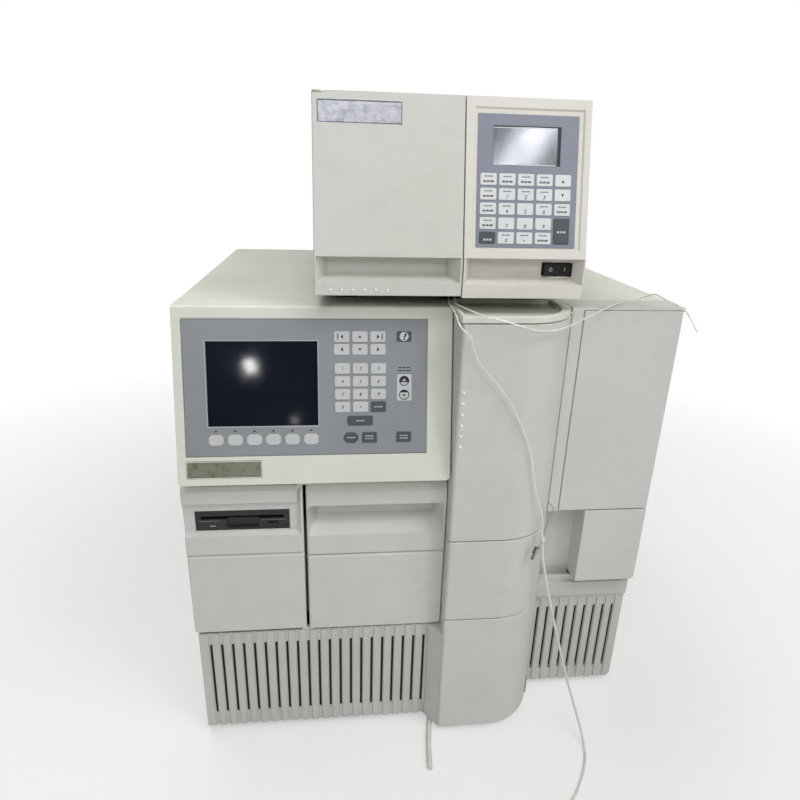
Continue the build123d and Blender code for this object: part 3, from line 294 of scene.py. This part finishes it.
metals = {
    # name: tone, second tone, roughness low and high, stretch of the brushing, how metallic
    "zincSheet": ((172, 174, 176), (158, 160, 163), 0.32, 0.46, (60, 60, 60), 1.0),
    "stainless": ((186, 187, 184), (168, 168, 164), 0.18, 0.34, (40, 40, 900), 1.0),
    "capillarySteel": ((248, 248, 244), (236, 235, 230), 0.24, 0.34, (25, 25, 25), 0.25),
}


def makeMetal(name, tone, second, low, high, stretch, metallic):
    f = Finish(name)
    lines = f.noise(1, 4, 0.6, f.stretched(stretch))
    f.colour(f.mix(f.band(lines, 0.35, 0.65), linear(*tone), linear(*second)))
    f.rough(f.band(lines, 0.3, 0.7, low, high))
    f.normal(f.bump(lines, 0.12, 0.0001))
    f.fixed(Metallic=metallic)
    return f.mat


finishes.update({name: makeMetal(name, *values) for name, values in metals.items()})

plates = {
    # name: clean tone, worn tone, how much is worn, roughness
    "oldPlate": ((164, 166, 146), (132, 133, 112), 0.52, 0.38),
    "brightPlate": ((202, 202, 213), (168, 171, 185), 0.5, 0.34),
}


def makePlate(name, clean, worn, edge, rough):
    f = Finish(name)
    brush = f.noise(1, 3, 0.6, f.stretched((40, 900, 900)))
    wear = f.band(f.noise(120, 8, 0.75), edge - 0.04, edge + 0.1)
    scratch = f.band(f.noise(1, 6, 0.8, f.stretched((90, 700, 260))), 0.62, 0.7)
    f.colour(f.mix(scratch, f.mix(wear, linear(*clean), linear(*worn)), linear(*(min(255, v * 1.25) for v in clean))))
    f.rough(f.band(brush, 0.3, 0.7, rough - 0.06, rough + 0.1))
    f.normal(f.bump(brush, 0.1, 0.0001))
    f.fixed(Metallic=0.85)
    return f.mat


finishes.update({name: makePlate(name, *values) for name, values in plates.items()})


def makeDarkScreen():
    f = Finish("darkScreen")
    haze = f.band(f.noise(9, 4, 0.6), 0.35, 0.7)
    f.colour(f.mix(haze, linear(9, 17, 32), linear(21, 25, 34)))
    f.rough(f.band(f.noise(30, 5, 0.7), 0.3, 0.7, 0.04, 0.09))
    f.fixed(Specular_IOR_Level=0.4, Coat_Weight=0.14, Coat_Roughness=0.26)
    return f.mat


def makeSilverScreen():
    f = Finish("silverScreen")
    haze = f.band(f.noise(12, 3, 0.5), 0.35, 0.7)
    f.colour(f.mix(haze, linear(146, 150, 154), linear(160, 163, 170)))
    f.rough(f.band(f.noise(30, 4, 0.6), 0.3, 0.7, 0.12, 0.18))
    f.fixed(Metallic=0.8, Coat_Weight=0.6, Coat_Roughness=0.1)
    return f.mat


def makeVialGlass():
    f = Finish("vialGlass")
    f.colour(f.mix(f.band(f.noise(40), 0.3, 0.7), linear(222, 228, 226), linear(212, 220, 220)))
    f.rough(f.band(f.noise(50), 0.3, 0.7, 0.05, 0.12))
    f.fixed(Transmission_Weight=0.5, IOR=1.47)
    return f.mat


def makeFoam():
    f = Finish("filterFoam")
    cells = f.noise(900, 2, 0.6)
    f.colour(f.mix(f.band(cells, 0.35, 0.65), linear(22, 23, 23), linear(44, 45, 44)))
    f.rough(f.band(cells, 0.3, 0.7, 0.85, 0.95))
    f.normal(f.bump(cells, 0.8, 0.001))
    return f.mat


def makeClearTube():
    f = Finish("clearTube")
    f.colour(f.mix(f.band(f.noise(60), 0.3, 0.7), linear(200, 198, 188), linear(186, 184, 174)))
    f.rough(f.band(f.noise(80), 0.3, 0.7, 0.15, 0.25))
    f.fixed(Transmission_Weight=0.35, IOR=1.38)
    return f.mat


finishes["darkScreen"] = makeDarkScreen()
finishes["silverScreen"] = makeSilverScreen()
finishes["vialGlass"] = makeVialGlass()
finishes["filterFoam"] = makeFoam()
finishes["clearTube"] = makeClearTube()
print("finishes mixed", len(finishes))

dressing = {
    "casingPlastic": "side_panel_left side_panel_right top_cover keypad_fascia top_tray",
    "detectorPlastic": "detector_door",
    "bezelPlastic": "detector_bezel",
    "doorPlastic": "disk_panel sample_door tall_door middle_cover base_cover oven_housing oven_door lower_cover",
    "grillePlastic": "grille_left grille_right",
    "linerPlastic": "fluidics_liner sample_chamber",
    "blackPlastic": "disk_drive disk_eject_button fan_housing fan_rotor power_inlet power_rocker tube_clip "
                    "rear_connectors detector_rear",
    "rackPlastic": "carousel",
    "footRubber": "levelling_feet detector_feet",
    "overlayGrey": "keypad_overlay",
    "overlayBlue": "detector_overlay",
    "keyLight": "keys_light",
    "keyWhite": "detector_keys_light",
    "keyDark": "keys_dark detector_keys_dark",
    "paintedSheet": "rear_panel detector_cover",
    "zincSheet": "base_pan oven_liner detector_base optics_plate",
    "stainless": "pump_heads inject_valve needle_carriage column hanging_fitting",
    "capillarySteel": "capillary_right capillary_down",
    "whiteTube": "drain_tube tube_union drain_hose",
    "clearTube": "loop_tube",
    "darkScreen": "display_glass",
    "silverScreen": "detector_display",
    "oldPlate": "module_nameplate",
    "brightPlate": "detector_nameplate",
    "vialGlass": "vials",
    "filterFoam": "grille_filters",
}
for finish, names in dressing.items():
    for name in names.split():
        slots = nodes[name].data.materials
        slots.clear()
        slots.append(finishes[finish])
print("nodes dressed", sum(len(names.split()) for names in dressing.values()))


tubes = {
    "capillaryRight": {
        "node": "capillary_right", "body": "module", "width": 0.0016, "slot": "steel", "finish": "capillarySteel",
        "end": "bare", "stiffness": "stiff", "lay": "loose", "carried": [],
        "route": [
            (311, 100, 567), (311, 86, 567), (307.5, 67, 566.6), (304.6, 48, 567.6), (307.0, 28, 568.2),
            (313.5, 6, 568.0), (325.5, -8.5, 565.6), (341.0, -13.0, 563.0), (362.2, -12.5, 556.6),
            (387.0, -5.5, 548.6), (415.0, 5.0, 549.4), (441.0, 21.0, 556.2), (473.2, 38.5, 565.2),
            (503.2, 66.0, 566.6), (514.0, 76.2, 566.8), (523.0, 77.0, 567.6), (530.6, 72.2, 570.4),
            (534.0, 63.9, 574.2), (533.0, 50.0, 578.6), (527.5, 33.0, 580.5), (528.5, 15.5, 578.8),
            (537.0, 4.0, 575.4), (541.0, -9.5, 569.5), (543.5, -17.5, 562.0), (546.9, -22.5, 553.0),
        ],
    },
    "capillaryDown": {
        "node": "capillary_down", "body": "module", "width": 0.0016, "slot": "steel", "finish": "capillarySteel",
        "end": "object", "stiffness": "stiff", "lay": "hanging", "carried": [],
        "route": [
            (304.5, 100, 566), (304.5, 86, 566), (300.2, 67, 566.8), (297.2, 45, 567.9), (296.9, 22, 567.4),
            (297.6, 7.0, 564.4), (299.0, -3.5, 557.5), (302.8, -6.0, 551.4), (308.6, -6.4, 547.6),
            (313.3, -5.6, 541.0), (316.1, -5.2, 532.0), (321.2, -6.0, 519.0), (332.0, -7.0, 504.6),
            (346.3, -7.0, 490.8), (360.4, -6.2, 471.6), (374.2, -4.2, 447.0), (387.9, -2.0, 418.5),
            (395.8, 0.0, 390.0), (401.9, 1.2, 361.0), (411.6, 3.6, 335.5), (419.1, 5.6, 312.0), (419.1, 5.6, 291.8),
        ],
    },
    "loopTube": {
        "node": "loop_tube", "body": "module", "width": 0.0016, "slot": "clear", "finish": "clearTube",
        "end": "bare", "stiffness": "limp", "lay": "loose", "carried": [],
        "route": [
            (421.9, 5.6, 291.8), (421.9, 5.6, 301.0), (424.4, 5.4, 313.0), (430.4, 7.4, 322.5), (431.3, 10.6, 330.5),
            (424.0, 10.6, 335.5),
        ],
    },
    "drainTube": {
        "node": "drain_tube", "body": "module", "width": 0.0032, "slot": "ptfe", "finish": "whiteTube",
        "end": "bare", "stiffness": "medium", "lay": "loose", "carried": [],
        "route": [
            (421.4, 6.2, 286.0), (421.4, 6.2, 272.0), (427.0, 5.0, 246.0), (435.6, 3.8, 212.0), (446.2, 2.0, 171.3),
            (459.2, -0.6, 127.0), (472.4, -3.2, 82.0), (485.3, -7.0, 42.3), (494.6, -15.0, 13.0),
            (497.6, -31.0, -4.4), (491.5, -55.0, -6.4), (477.0, -80.0, -6.4), (456.2, -107.0, -6.4),
            (431.0, -131.0, -6.4),
        ],
    },
    "drainHose": {
        "node": "drain_hose", "body": "module", "width": 0.007, "slot": "ptfe", "finish": "whiteTube",
        "end": "bare", "stiffness": "medium", "lay": "loose", "carried": [],
        "route": [
            (300.5, 67, -4.5), (300.5, 48.0, -4.5), (298.6, 28.0, -4.5), (294.8, 8.0, -4.5), (291.4, -12.0, -4.5),
            (288.4, -34.0, -4.5), (286.9, -56.0, -4.5),
        ],
    },
}


def curveLength(curve):
    bevel = curve.data.bevel_depth
    curve.data.bevel_depth = 0
    mesh = bpy.data.meshes.new_from_object(curve)
    points = [v.co.copy() for v in mesh.vertices]
    bpy.data.meshes.remove(mesh)
    curve.data.bevel_depth = bevel
    return sum((b - a).length for a, b in zip(points, points[1:]))


def makeTube(name, s):
    data = bpy.data.curves.new(name, "CURVE")
    data.dimensions = "3D"
    data.bevel_depth = s["width"] / 2
    data.bevel_resolution = 4
    data.resolution_u = 6
    data.use_fill_caps = True
    spline = data.splines.new("NURBS")
    spline.points.add(len(s["route"]) - 1)
    for point, place in zip(spline.points, s["route"]):
        point.co = (*at(*place), 1)
    spline.order_u = 3
    spline.use_endpoint_u = True
    data.materials.append(finishes[s["finish"]])
    tube = bpy.data.objects.new(name, data)
    bpy.context.scene.collection.objects.link(tube)
    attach(tube, s["body"])
    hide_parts(s["node"])
    round(curveLength(tube), 4)


for name, settings in tubes.items():
    makeTube(name, settings)
print("tubes laid", len(tubes))

# the two leaning faces: x along the face, then up its slope, then off it
leaning = {
    "module": {"origin": (0, 9, 370), "back": 43, "rise": 192},
    "detector": {"origin": (152.5, 27, 619), "back": 35, "rise": 155},
}


def faceFrame(s):
    lean = math.atan2(s["back"], s["rise"])
    turn = Matrix(((1, 0, 0), (0, math.sin(lean), -math.cos(lean)), (0, math.cos(lean), math.sin(lean))))
    return Matrix.Translation(at(*s["origin"])) @ turn.to_4x4() @ Matrix.Scale(0.001, 4)


outlines = {
    "up": [(-0.5, -0.4), (0.5, -0.4), (0, 0.4)],
    "down": [(-0.5, 0.4), (0, -0.4), (0.5, 0.4)],
    "left": [(0.4, -0.5), (0.4, 0.5), (-0.4, 0)],
    "right": [(-0.4, -0.5), (0.4, 0), (-0.4, 0.5)],
    "bar": [(-0.5, -0.5), (0.5, -0.5), (0.5, 0.5), (-0.5, 0.5)],
    "disc": [(0.5 * math.cos(math.tau * k / 28), 0.5 * math.sin(math.tau * k / 28)) for k in range(28)],
}


def addOutline(bm, points, lift, thick):
    face = bm.faces.new([bm.verts.new((x, y, lift)) for x, y in points])
    raised = bmesh.ops.extrude_face_region(bm, geom=[face])
    tops = [v for v in raised["geom"] if isinstance(v, bmesh.types.BMVert)]
    bmesh.ops.translate(bm, verts=tops, vec=(0, 0, thick))


def addShape(bm, shape, x, y, wide, high, lift, thick):
    if shape in outlines:
        addOutline(bm, [(x + px * wide, y + py * high) for px, py in outlines[shape]], lift, thick)
        return
    if shape == "ring":
        inner = wide / 2 - high
        before = len(bm.verts)
        steps = 28
        for k in range(steps):
            for radius in (inner, wide / 2):
                angle = math.tau * k / steps
                bm.verts.new((x + radius * math.cos(angle), y + radius * math.sin(angle), lift + thick))
        bm.verts.ensure_lookup_table()
        rim = bm.verts[before:]
        for k in range(steps):
            a, b = 2 * k, 2 * ((k + 1) % steps)
            bm.faces.new((rim[a], rim[a + 1], rim[b + 1], rim[b]))
        return
    letter = bpy.data.curves.new("letter", "FONT")
    letter.body = shape
    letter.size = high / 0.72
    letter.offset = (0.03 if shape == "?" else 0.012) * letter.size
    letter.shear = 0.2
    letter.align_x = "CENTER"
    letter.extrude = thick / 2
    letter.resolution_u = 4
    shown = bpy.data.objects.new("letter", letter)
    mesh = bpy.data.meshes.new_from_object(shown)
    mesh.transform(Matrix.Translation((x, y - high / 2, lift + thick / 2)))
    bm.from_mesh(mesh)
    bpy.data.objects.remove(shown)
    bpy.data.curves.remove(letter)
    bpy.data.meshes.remove(mesh)


def addPiece(name, bm, finish, body):
    mesh = bpy.data.meshes.new(name)
    bm.to_mesh(mesh)
    bm.free()
    mesh.materials.append(finishes[finish])
    piece = bpy.data.objects.new(name, mesh)
    bpy.context.scene.collection.objects.link(piece)
    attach(piece, body)


def makePrint(name, s, marks):
    bm = bmesh.new()
    for shape, x, y, wide, high in marks:
        addShape(bm, shape, x, y, wide, high, s["lift"], s["thick"])
    bmesh.ops.recalc_face_normals(bm, faces=bm.faces)
    bm.transform(s["frame"])
    addPiece(name, bm, s["finish"], s["body"])


# printing on the separations module's keys: each mark is a shape, its middle, width and height in millimetres
modulePrint = {"frame": faceFrame(leaning["module"]), "body": "module", "lift": 0.68, "thick": 0.06}
navColumns = [180.4 + 19.8 * k for k in range(3)]
navRows = (164.3, 150.4)
numberColumns = [180.8 + 19.8 * k for k in range(3)]
numberRows = [129.5 - 14.3 * k for k in range(4)]
scrollX, scrollUp, scrollDown = 249.25, 115.4, 99.9
moduleDark = [
    ("bar", navColumns[0] - 4.3, navRows[0], 1.1, 6.6), ("left", navColumns[0], navRows[0], 3.4, 5.2),
    ("up", navColumns[1], navRows[0], 5.0, 2.9),
    ("right", navColumns[2] + 0.3, navRows[0], 3.4, 5.2), ("bar", navColumns[2] + 4.6, navRows[0], 1.1, 6.6),
    ("left", navColumns[0], navRows[1], 3.4, 5.2), ("down", navColumns[1], navRows[1], 5.0, 2.9),
    ("right", navColumns[2] + 0.3, navRows[1], 3.4, 5.2),
    ("disc", numberColumns[1], numberRows[3], 1.5, 1.5),
    ("ring", scrollX, scrollUp, 11.2, 1.0), ("ring", scrollX, scrollDown, 11.4, 1.0),
    ("down", scrollX, scrollDown - 0.9, 5.2, 3.0),
]
for place, digit in enumerate("1234567890"):
    column, row = (place % 3, place // 3)
    moduleDark.append((digit, numberColumns[column], numberRows[row], 3, 3.6))
makePrint("moduleKeyPrint", {**modulePrint, "finish": "ink", "slot": "key_dark"}, moduleDark)


def cap(x, y, radius, low, high, steps):
    # part of a disc between two heights
    start, end = math.asin(low / radius), math.asin(high / radius)
    side = [start + (end - start) * k / steps for k in range(steps + 1)]
    return ([(x + radius * math.cos(a), y + radius * math.sin(a)) for a in side]
            + [(x - radius * math.cos(a), y + radius * math.sin(a)) for a in reversed(side)])


outlines["upperCap"] = [(px / 11, py / 11) for px, py in cap(0, 0, 5.4, -1.5, 5.3, 12)]
outlines["thinCap"] = [(px / 11, py / 11) for px, py in cap(0, 0, 5.5, 2.4, 5.4, 12)]
makePrint("scrollPrint", {**modulePrint, "finish": "ink", "slot": "key_dark"},
          [("upperCap", scrollX, scrollUp, 11, 11), ("thinCap", scrollX, scrollDown, 11, 11)])
palePrint = {**modulePrint, "finish": "paleInk", "slot": "key_light"}
makePrint("scrollArrow", {**palePrint, "lift": 0.74}, [("up", scrollX, scrollUp + 1.2, 5.0, 3.0)])
helpX, helpY = 248.9, 164.6
makePrint("helpRing", palePrint, [("disc", helpX, helpY, 9.8, 9.8)])
makePrint("helpMark", {**modulePrint, "finish": "ink", "slot": "key_dark", "lift": 0.74},
          [("?", helpX, helpY, 5, 7.4)])
softMarks = [("up", 42.7 + 20.64 * k, 61.2, 4.2, 2.6) for k in range(6)]
makePrint("softKeyMarks", {**modulePrint, "lift": 0.1, "finish": "ink", "slot": "key_dark"}, softMarks)

darkKeys = [(220.4, 86.6, 1), (200.2, 71.0, 1), (189.9, 52.0, 1), (210.4, 52.0, 2), (249.0, 52.0, 2)]
captionBars = []


def frameBars(left, right, low, high, width):
    across, up = (left + right) / 2, (low + high) / 2
    return [("bar", across, low, right - left + width, width), ("bar", across, high, right - left + width, width),
            ("bar", left, up, width, high - low - width), ("bar", right, up, width, high - low - width)]


def dashes(x, y, wide, high):
    # a printed line, broken as its letters would break it
    parts = [(-0.5, -0.22), (-0.16, 0.1), (0.16, 0.5)]
    return [("bar", x + (a + b) / 2 * wide, y, (b - a) * wide, high) for a, b in parts]


for x, y, lines in darkKeys:
    for line in range(lines):
        captionBars += dashes(x, y + 3.0 * (lines - 1) / 2 - 3.0 * line, 9.0, 1.1)
makePrint("keyCaptions", palePrint, captionBars)
makePrint("scrollCaption", {**modulePrint, "lift": 0.1, "finish": "ink", "slot": "key_dark"},
          dashes(scrollX, 130.2, 13.0, 1.0) + dashes(scrollX, 126.8, 14.5, 1.0))
# painted shade: thin dark lines along the keypad overlay's edges, where its frame shades it
makePrint("overlayShadeLine", {**modulePrint, "lift": 0.08, "finish": "paintedShadeLine", "slot": "membrane"},
          frameBars(10.3, 274.7, 33.1, 183.1, 0.5))
makePrint("displayRim", {**modulePrint, "lift": 0.08, "finish": "keyLight", "slot": "key_light"},
          frameBars(33.9, 154.4, 65.5, 159.9, 0.8))
# painted highlight: a pale frame around the module's nameplate, standing in for the lit bevel of its recess
makePrint("moduleNameplateHighlight", {**modulePrint, "lift": 0.38, "finish": "paintedHighlight", "slot": "plate"},
          frameBars(10.0, 90.6, 8.6, 27.0, 0.8))

# printing on the detector's keys
detectorPrint = {"frame": faceFrame(leaning["detector"]), "body": "detector", "lift": -0.22, "thick": 0.06,
                 "finish": "ink", "slot": "key_dark"}
keyColumns = [178.3 + 19.65 * k for k in range(5)]
keyRows = [79.3 - 14.6 * k for k in range(5)]
detectorMarks = [
    ("up", keyColumns[4], keyRows[0] - 0.6, 2.8, 4.4),
    ("down", keyColumns[4], keyRows[1] - 0.2, 2.8, 4.4),
    ("disc", keyColumns[2], keyRows[4] - 2.6, 1.6, 1.6),
]
for place, digit in enumerate("123456789"):
    detectorMarks.append((digit, keyColumns[1 + place % 3], keyRows[1 + place // 3] - 2.4, 3, 3.9))
detectorMarks.append(("0", keyColumns[1], keyRows[4] - 2.4, 3, 3.9))
wordKeys = [(0, 0), (0, 1), (0, 2), (0, 3), (1, 0), (2, 0), (3, 0), (2, 4), (4, 3)]
smallKeys = wordKeys + [(1, 1), (1, 2), (1, 3), (2, 1), (2, 3), (4, 1), (4, 2)]
makePrint("detectorKeyPrint", detectorPrint, detectorMarks)
captionMarks = []
for row, column in wordKeys:
    captionMarks += dashes(keyColumns[column], keyRows[row] - 2.2, 11.0, 2.0)
for row, column in smallKeys:
    captionMarks += dashes(keyColumns[column], keyRows[row] + 2.8, 8.5, 1.1)
makePrint("detectorKeyWords", {**detectorPrint, "finish": "softInk"}, captionMarks)
makePrint("detectorKeyCaptions", {**detectorPrint, "finish": "paleInk", "slot": "key_light"},
          dashes(keyColumns[0], keyRows[4] - 2.0, 9.0, 2.0) + dashes(keyColumns[4], keyRows[4] + 6.6, 9.5, 2.0))
# painted shade and painted highlight on the detector's display window: dark bands along its right and top edges where
# the recess walls shade it, and pale lines along its bottom and top edges
windowShadeAndHighlight = {**detectorPrint, "lift": -0.92, "thick": 0.04}
makePrint("windowShade", windowShadeAndHighlight, [("bar", 251.3, 112.5, 3.4, 38.1), ("bar", 217.8, 131.2, 70.3, 0.9)])
makePrint("windowHighlight", {**windowShadeAndHighlight, "finish": "keyWhite", "slot": "key_light", "thick": 0.07},
          [("bar", 216.0, 94.0, 66.0, 0.9), ("bar", 216.0, 129.9, 66.0, 0.7)])
makePrint("detectorNameplateRim", {**detectorPrint, "lift": -0.42, "body": "detector_door", "slot": "plate"},
          frameBars(5.9, 88.7, 129.7, 149.7, 0.5))
# painted highlight: a pale frame around the detector's nameplate, standing in for the lit bevel of its recess
makePrint("detectorNameplateHighlight", {**detectorPrint, "lift": -0.02, "thick": 0.08, "body": "detector_door",
                                    "finish": "paintedHighlight", "slot": "casing"},
          frameBars(4.6, 90.0, 128.3, 151.1, 0.9))


# signs on the mains rocker, one on each of its two slopes
def slopeFrame(x, y, z, heading):
    turn = math.radians(heading)
    axes = Matrix(((math.cos(turn), 0, math.sin(turn)), (math.sin(turn), 0, -math.cos(turn)), (0, 1, 0)))
    return Matrix.Translation(at(x, y, z)) @ axes.to_4x4() @ Matrix.Scale(0.001, 4)


rockerPrint = {"body": "rocker", "lift": -0.02, "thick": 0.08, "finish": "paleInk", "slot": "key_light"}
rockerX, rockerY, rockerZ = 414.25, 48.0, 605.5
makePrint("offSign", {**rockerPrint, "frame": slopeFrame(rockerX - 7.82, rockerY - 4.09, rockerZ, 18.1)},
          [("ring", 0, 0, 4.4, 0.95)])
makePrint("onSign", {**rockerPrint, "frame": slopeFrame(rockerX + 8.49, rockerY - 2.38, rockerZ, -6.1)},
          [("bar", 0, 0, 0.95, 3.9)])
drivePrint = {"frame": slopeFrame(0, 28, 301, 0), "body": "module", "lift": -0.02, "thick": 0.08}
makePrint("driveLamp", {**drivePrint, "finish": "paleInk", "slot": "key_light"}, [("bar", 29.0, 5.6, 6.5, 1.0)])
makePrint("driveLines", {**drivePrint, "finish": "overlayGrey", "slot": "black", "thick": 0.05},
          [("bar", 25.0, 12.2, 24.0, 0.5), ("bar", 99.0, 12.2, 28.0, 0.5)])

coverReturn = {
    # seen from above: where the curved covers end, and where the right side's walls begin
    "start": (437.0, 50.2), "thick": 1.6,
    # name: far end, bottom and top
    "walls": {"baseReturn": ((442.4, 69.0), 3.0, 176.5), "middleReturn": ((444.4, 84.6), 177.0, 290.6)},
}


def makeReturn(name, s, end, low, high):
    start, stop = Vector(s["start"]), Vector(end)
    side = (stop - start).orthogonal().normalized() * s["thick"] / 2
    bm = bmesh.new()
    corners = [start + side, start - side, stop - side, stop + side]
    face = bm.faces.new([bm.verts.new(at(x, y, low)) for x, y in corners])
    raised = bmesh.ops.extrude_face_region(bm, geom=[face])
    tops = [v for v in raised["geom"] if isinstance(v, bmesh.types.BMVert)]
    bmesh.ops.translate(bm, verts=tops, vec=(0, 0, (high - low) / 1000))
    bmesh.ops.recalc_face_normals(bm, faces=bm.faces)
    addPiece(name, bm, "doorPlastic", "module")


for name, settings in coverReturn["walls"].items():
    makeReturn(name, coverReturn, *settings)
print("returns set", len(coverReturn["walls"]))

screws = {
    # name: body, outward direction, head radius and height, places
    "rearScrews": ("module", (0, 1, 0), 3.4, 1.6,
                   [(x, 530, z) for x in (14, 190, 385, 561) for z in (16, 545)] + [(14, 530, 280), (561, 530, 280)]),
    "detectorRearScrews": ("detector", (0, 1, 0), 2.8, 1.4,
                           [(x, 526, z) for x in (160, 295, 430) for z in (586, 767)]),
    "detectorSideScrews": ("detector", (1, 0, 0), 2.8, 1.4, [(437.5, y, 587) for y in (110, 300, 490)]),
    "detectorLeftScrews": ("detector", (-1, 0, 0), 2.8, 1.4, [(152.5, y, 587) for y in (110, 300, 490)]),
}


def makeScrews(name, body, outward, radius, height, places):
    bm = bmesh.new()
    facing = Vector(outward).to_track_quat("Z", "Y").to_matrix().to_4x4()
    for place in places:
        spot = Matrix.Translation(at(*place)) @ facing @ Matrix.Scale(0.001, 4)
        bmesh.ops.create_cone(bm, cap_ends=True, segments=20, radius1=radius, radius2=radius * 0.72, depth=height,
                              matrix=spot @ Matrix.Translation((0, 0, height / 2 - 0.1)))
        for turn in (0, 90):
            slot = spot @ Matrix.Rotation(math.radians(turn), 4, "Z") @ Matrix.Translation((0, 0, height - 0.08))
            bmesh.ops.create_cube(bm, size=1, matrix=slot @ Matrix.Diagonal((radius * 1.1, 0.7, 0.12, 1)))
    addPiece(name, bm, "stainless", body)


for name, settings in screws.items():
    makeScrews(name, *settings)
print("screws set", len(screws))

studs = {
    # name: body, dome radius, places of its middle
    "doorStuds": ("tall_door", 2.1, [(309.9, 0.7, 415.3 + 12.94 * k) for k in range(6)]),
    "detectorStuds": ("detector_door", 1.85, [(168.5 + 11.8 * k, 25.6, 585.0) for k in range(6)]),
}


def makeStuds(name, body, radius, places):
    bm = bmesh.new()
    for place in places:
        spot = Matrix.Translation(at(*place)) @ Matrix.Scale(0.001, 4)
        bmesh.ops.create_uvsphere(bm, u_segments=20, v_segments=12, radius=radius, matrix=spot)
    for face in bm.faces:
        face.smooth = True
    # the domes are painted paler than the doors around them: a painted highlight on each stud
    addPiece(name, bm, "paintedHighlight", body)


for name, settings in studs.items():
    makeStuds(name, *settings)
print("studs set", len(studs))
print("keys printed")
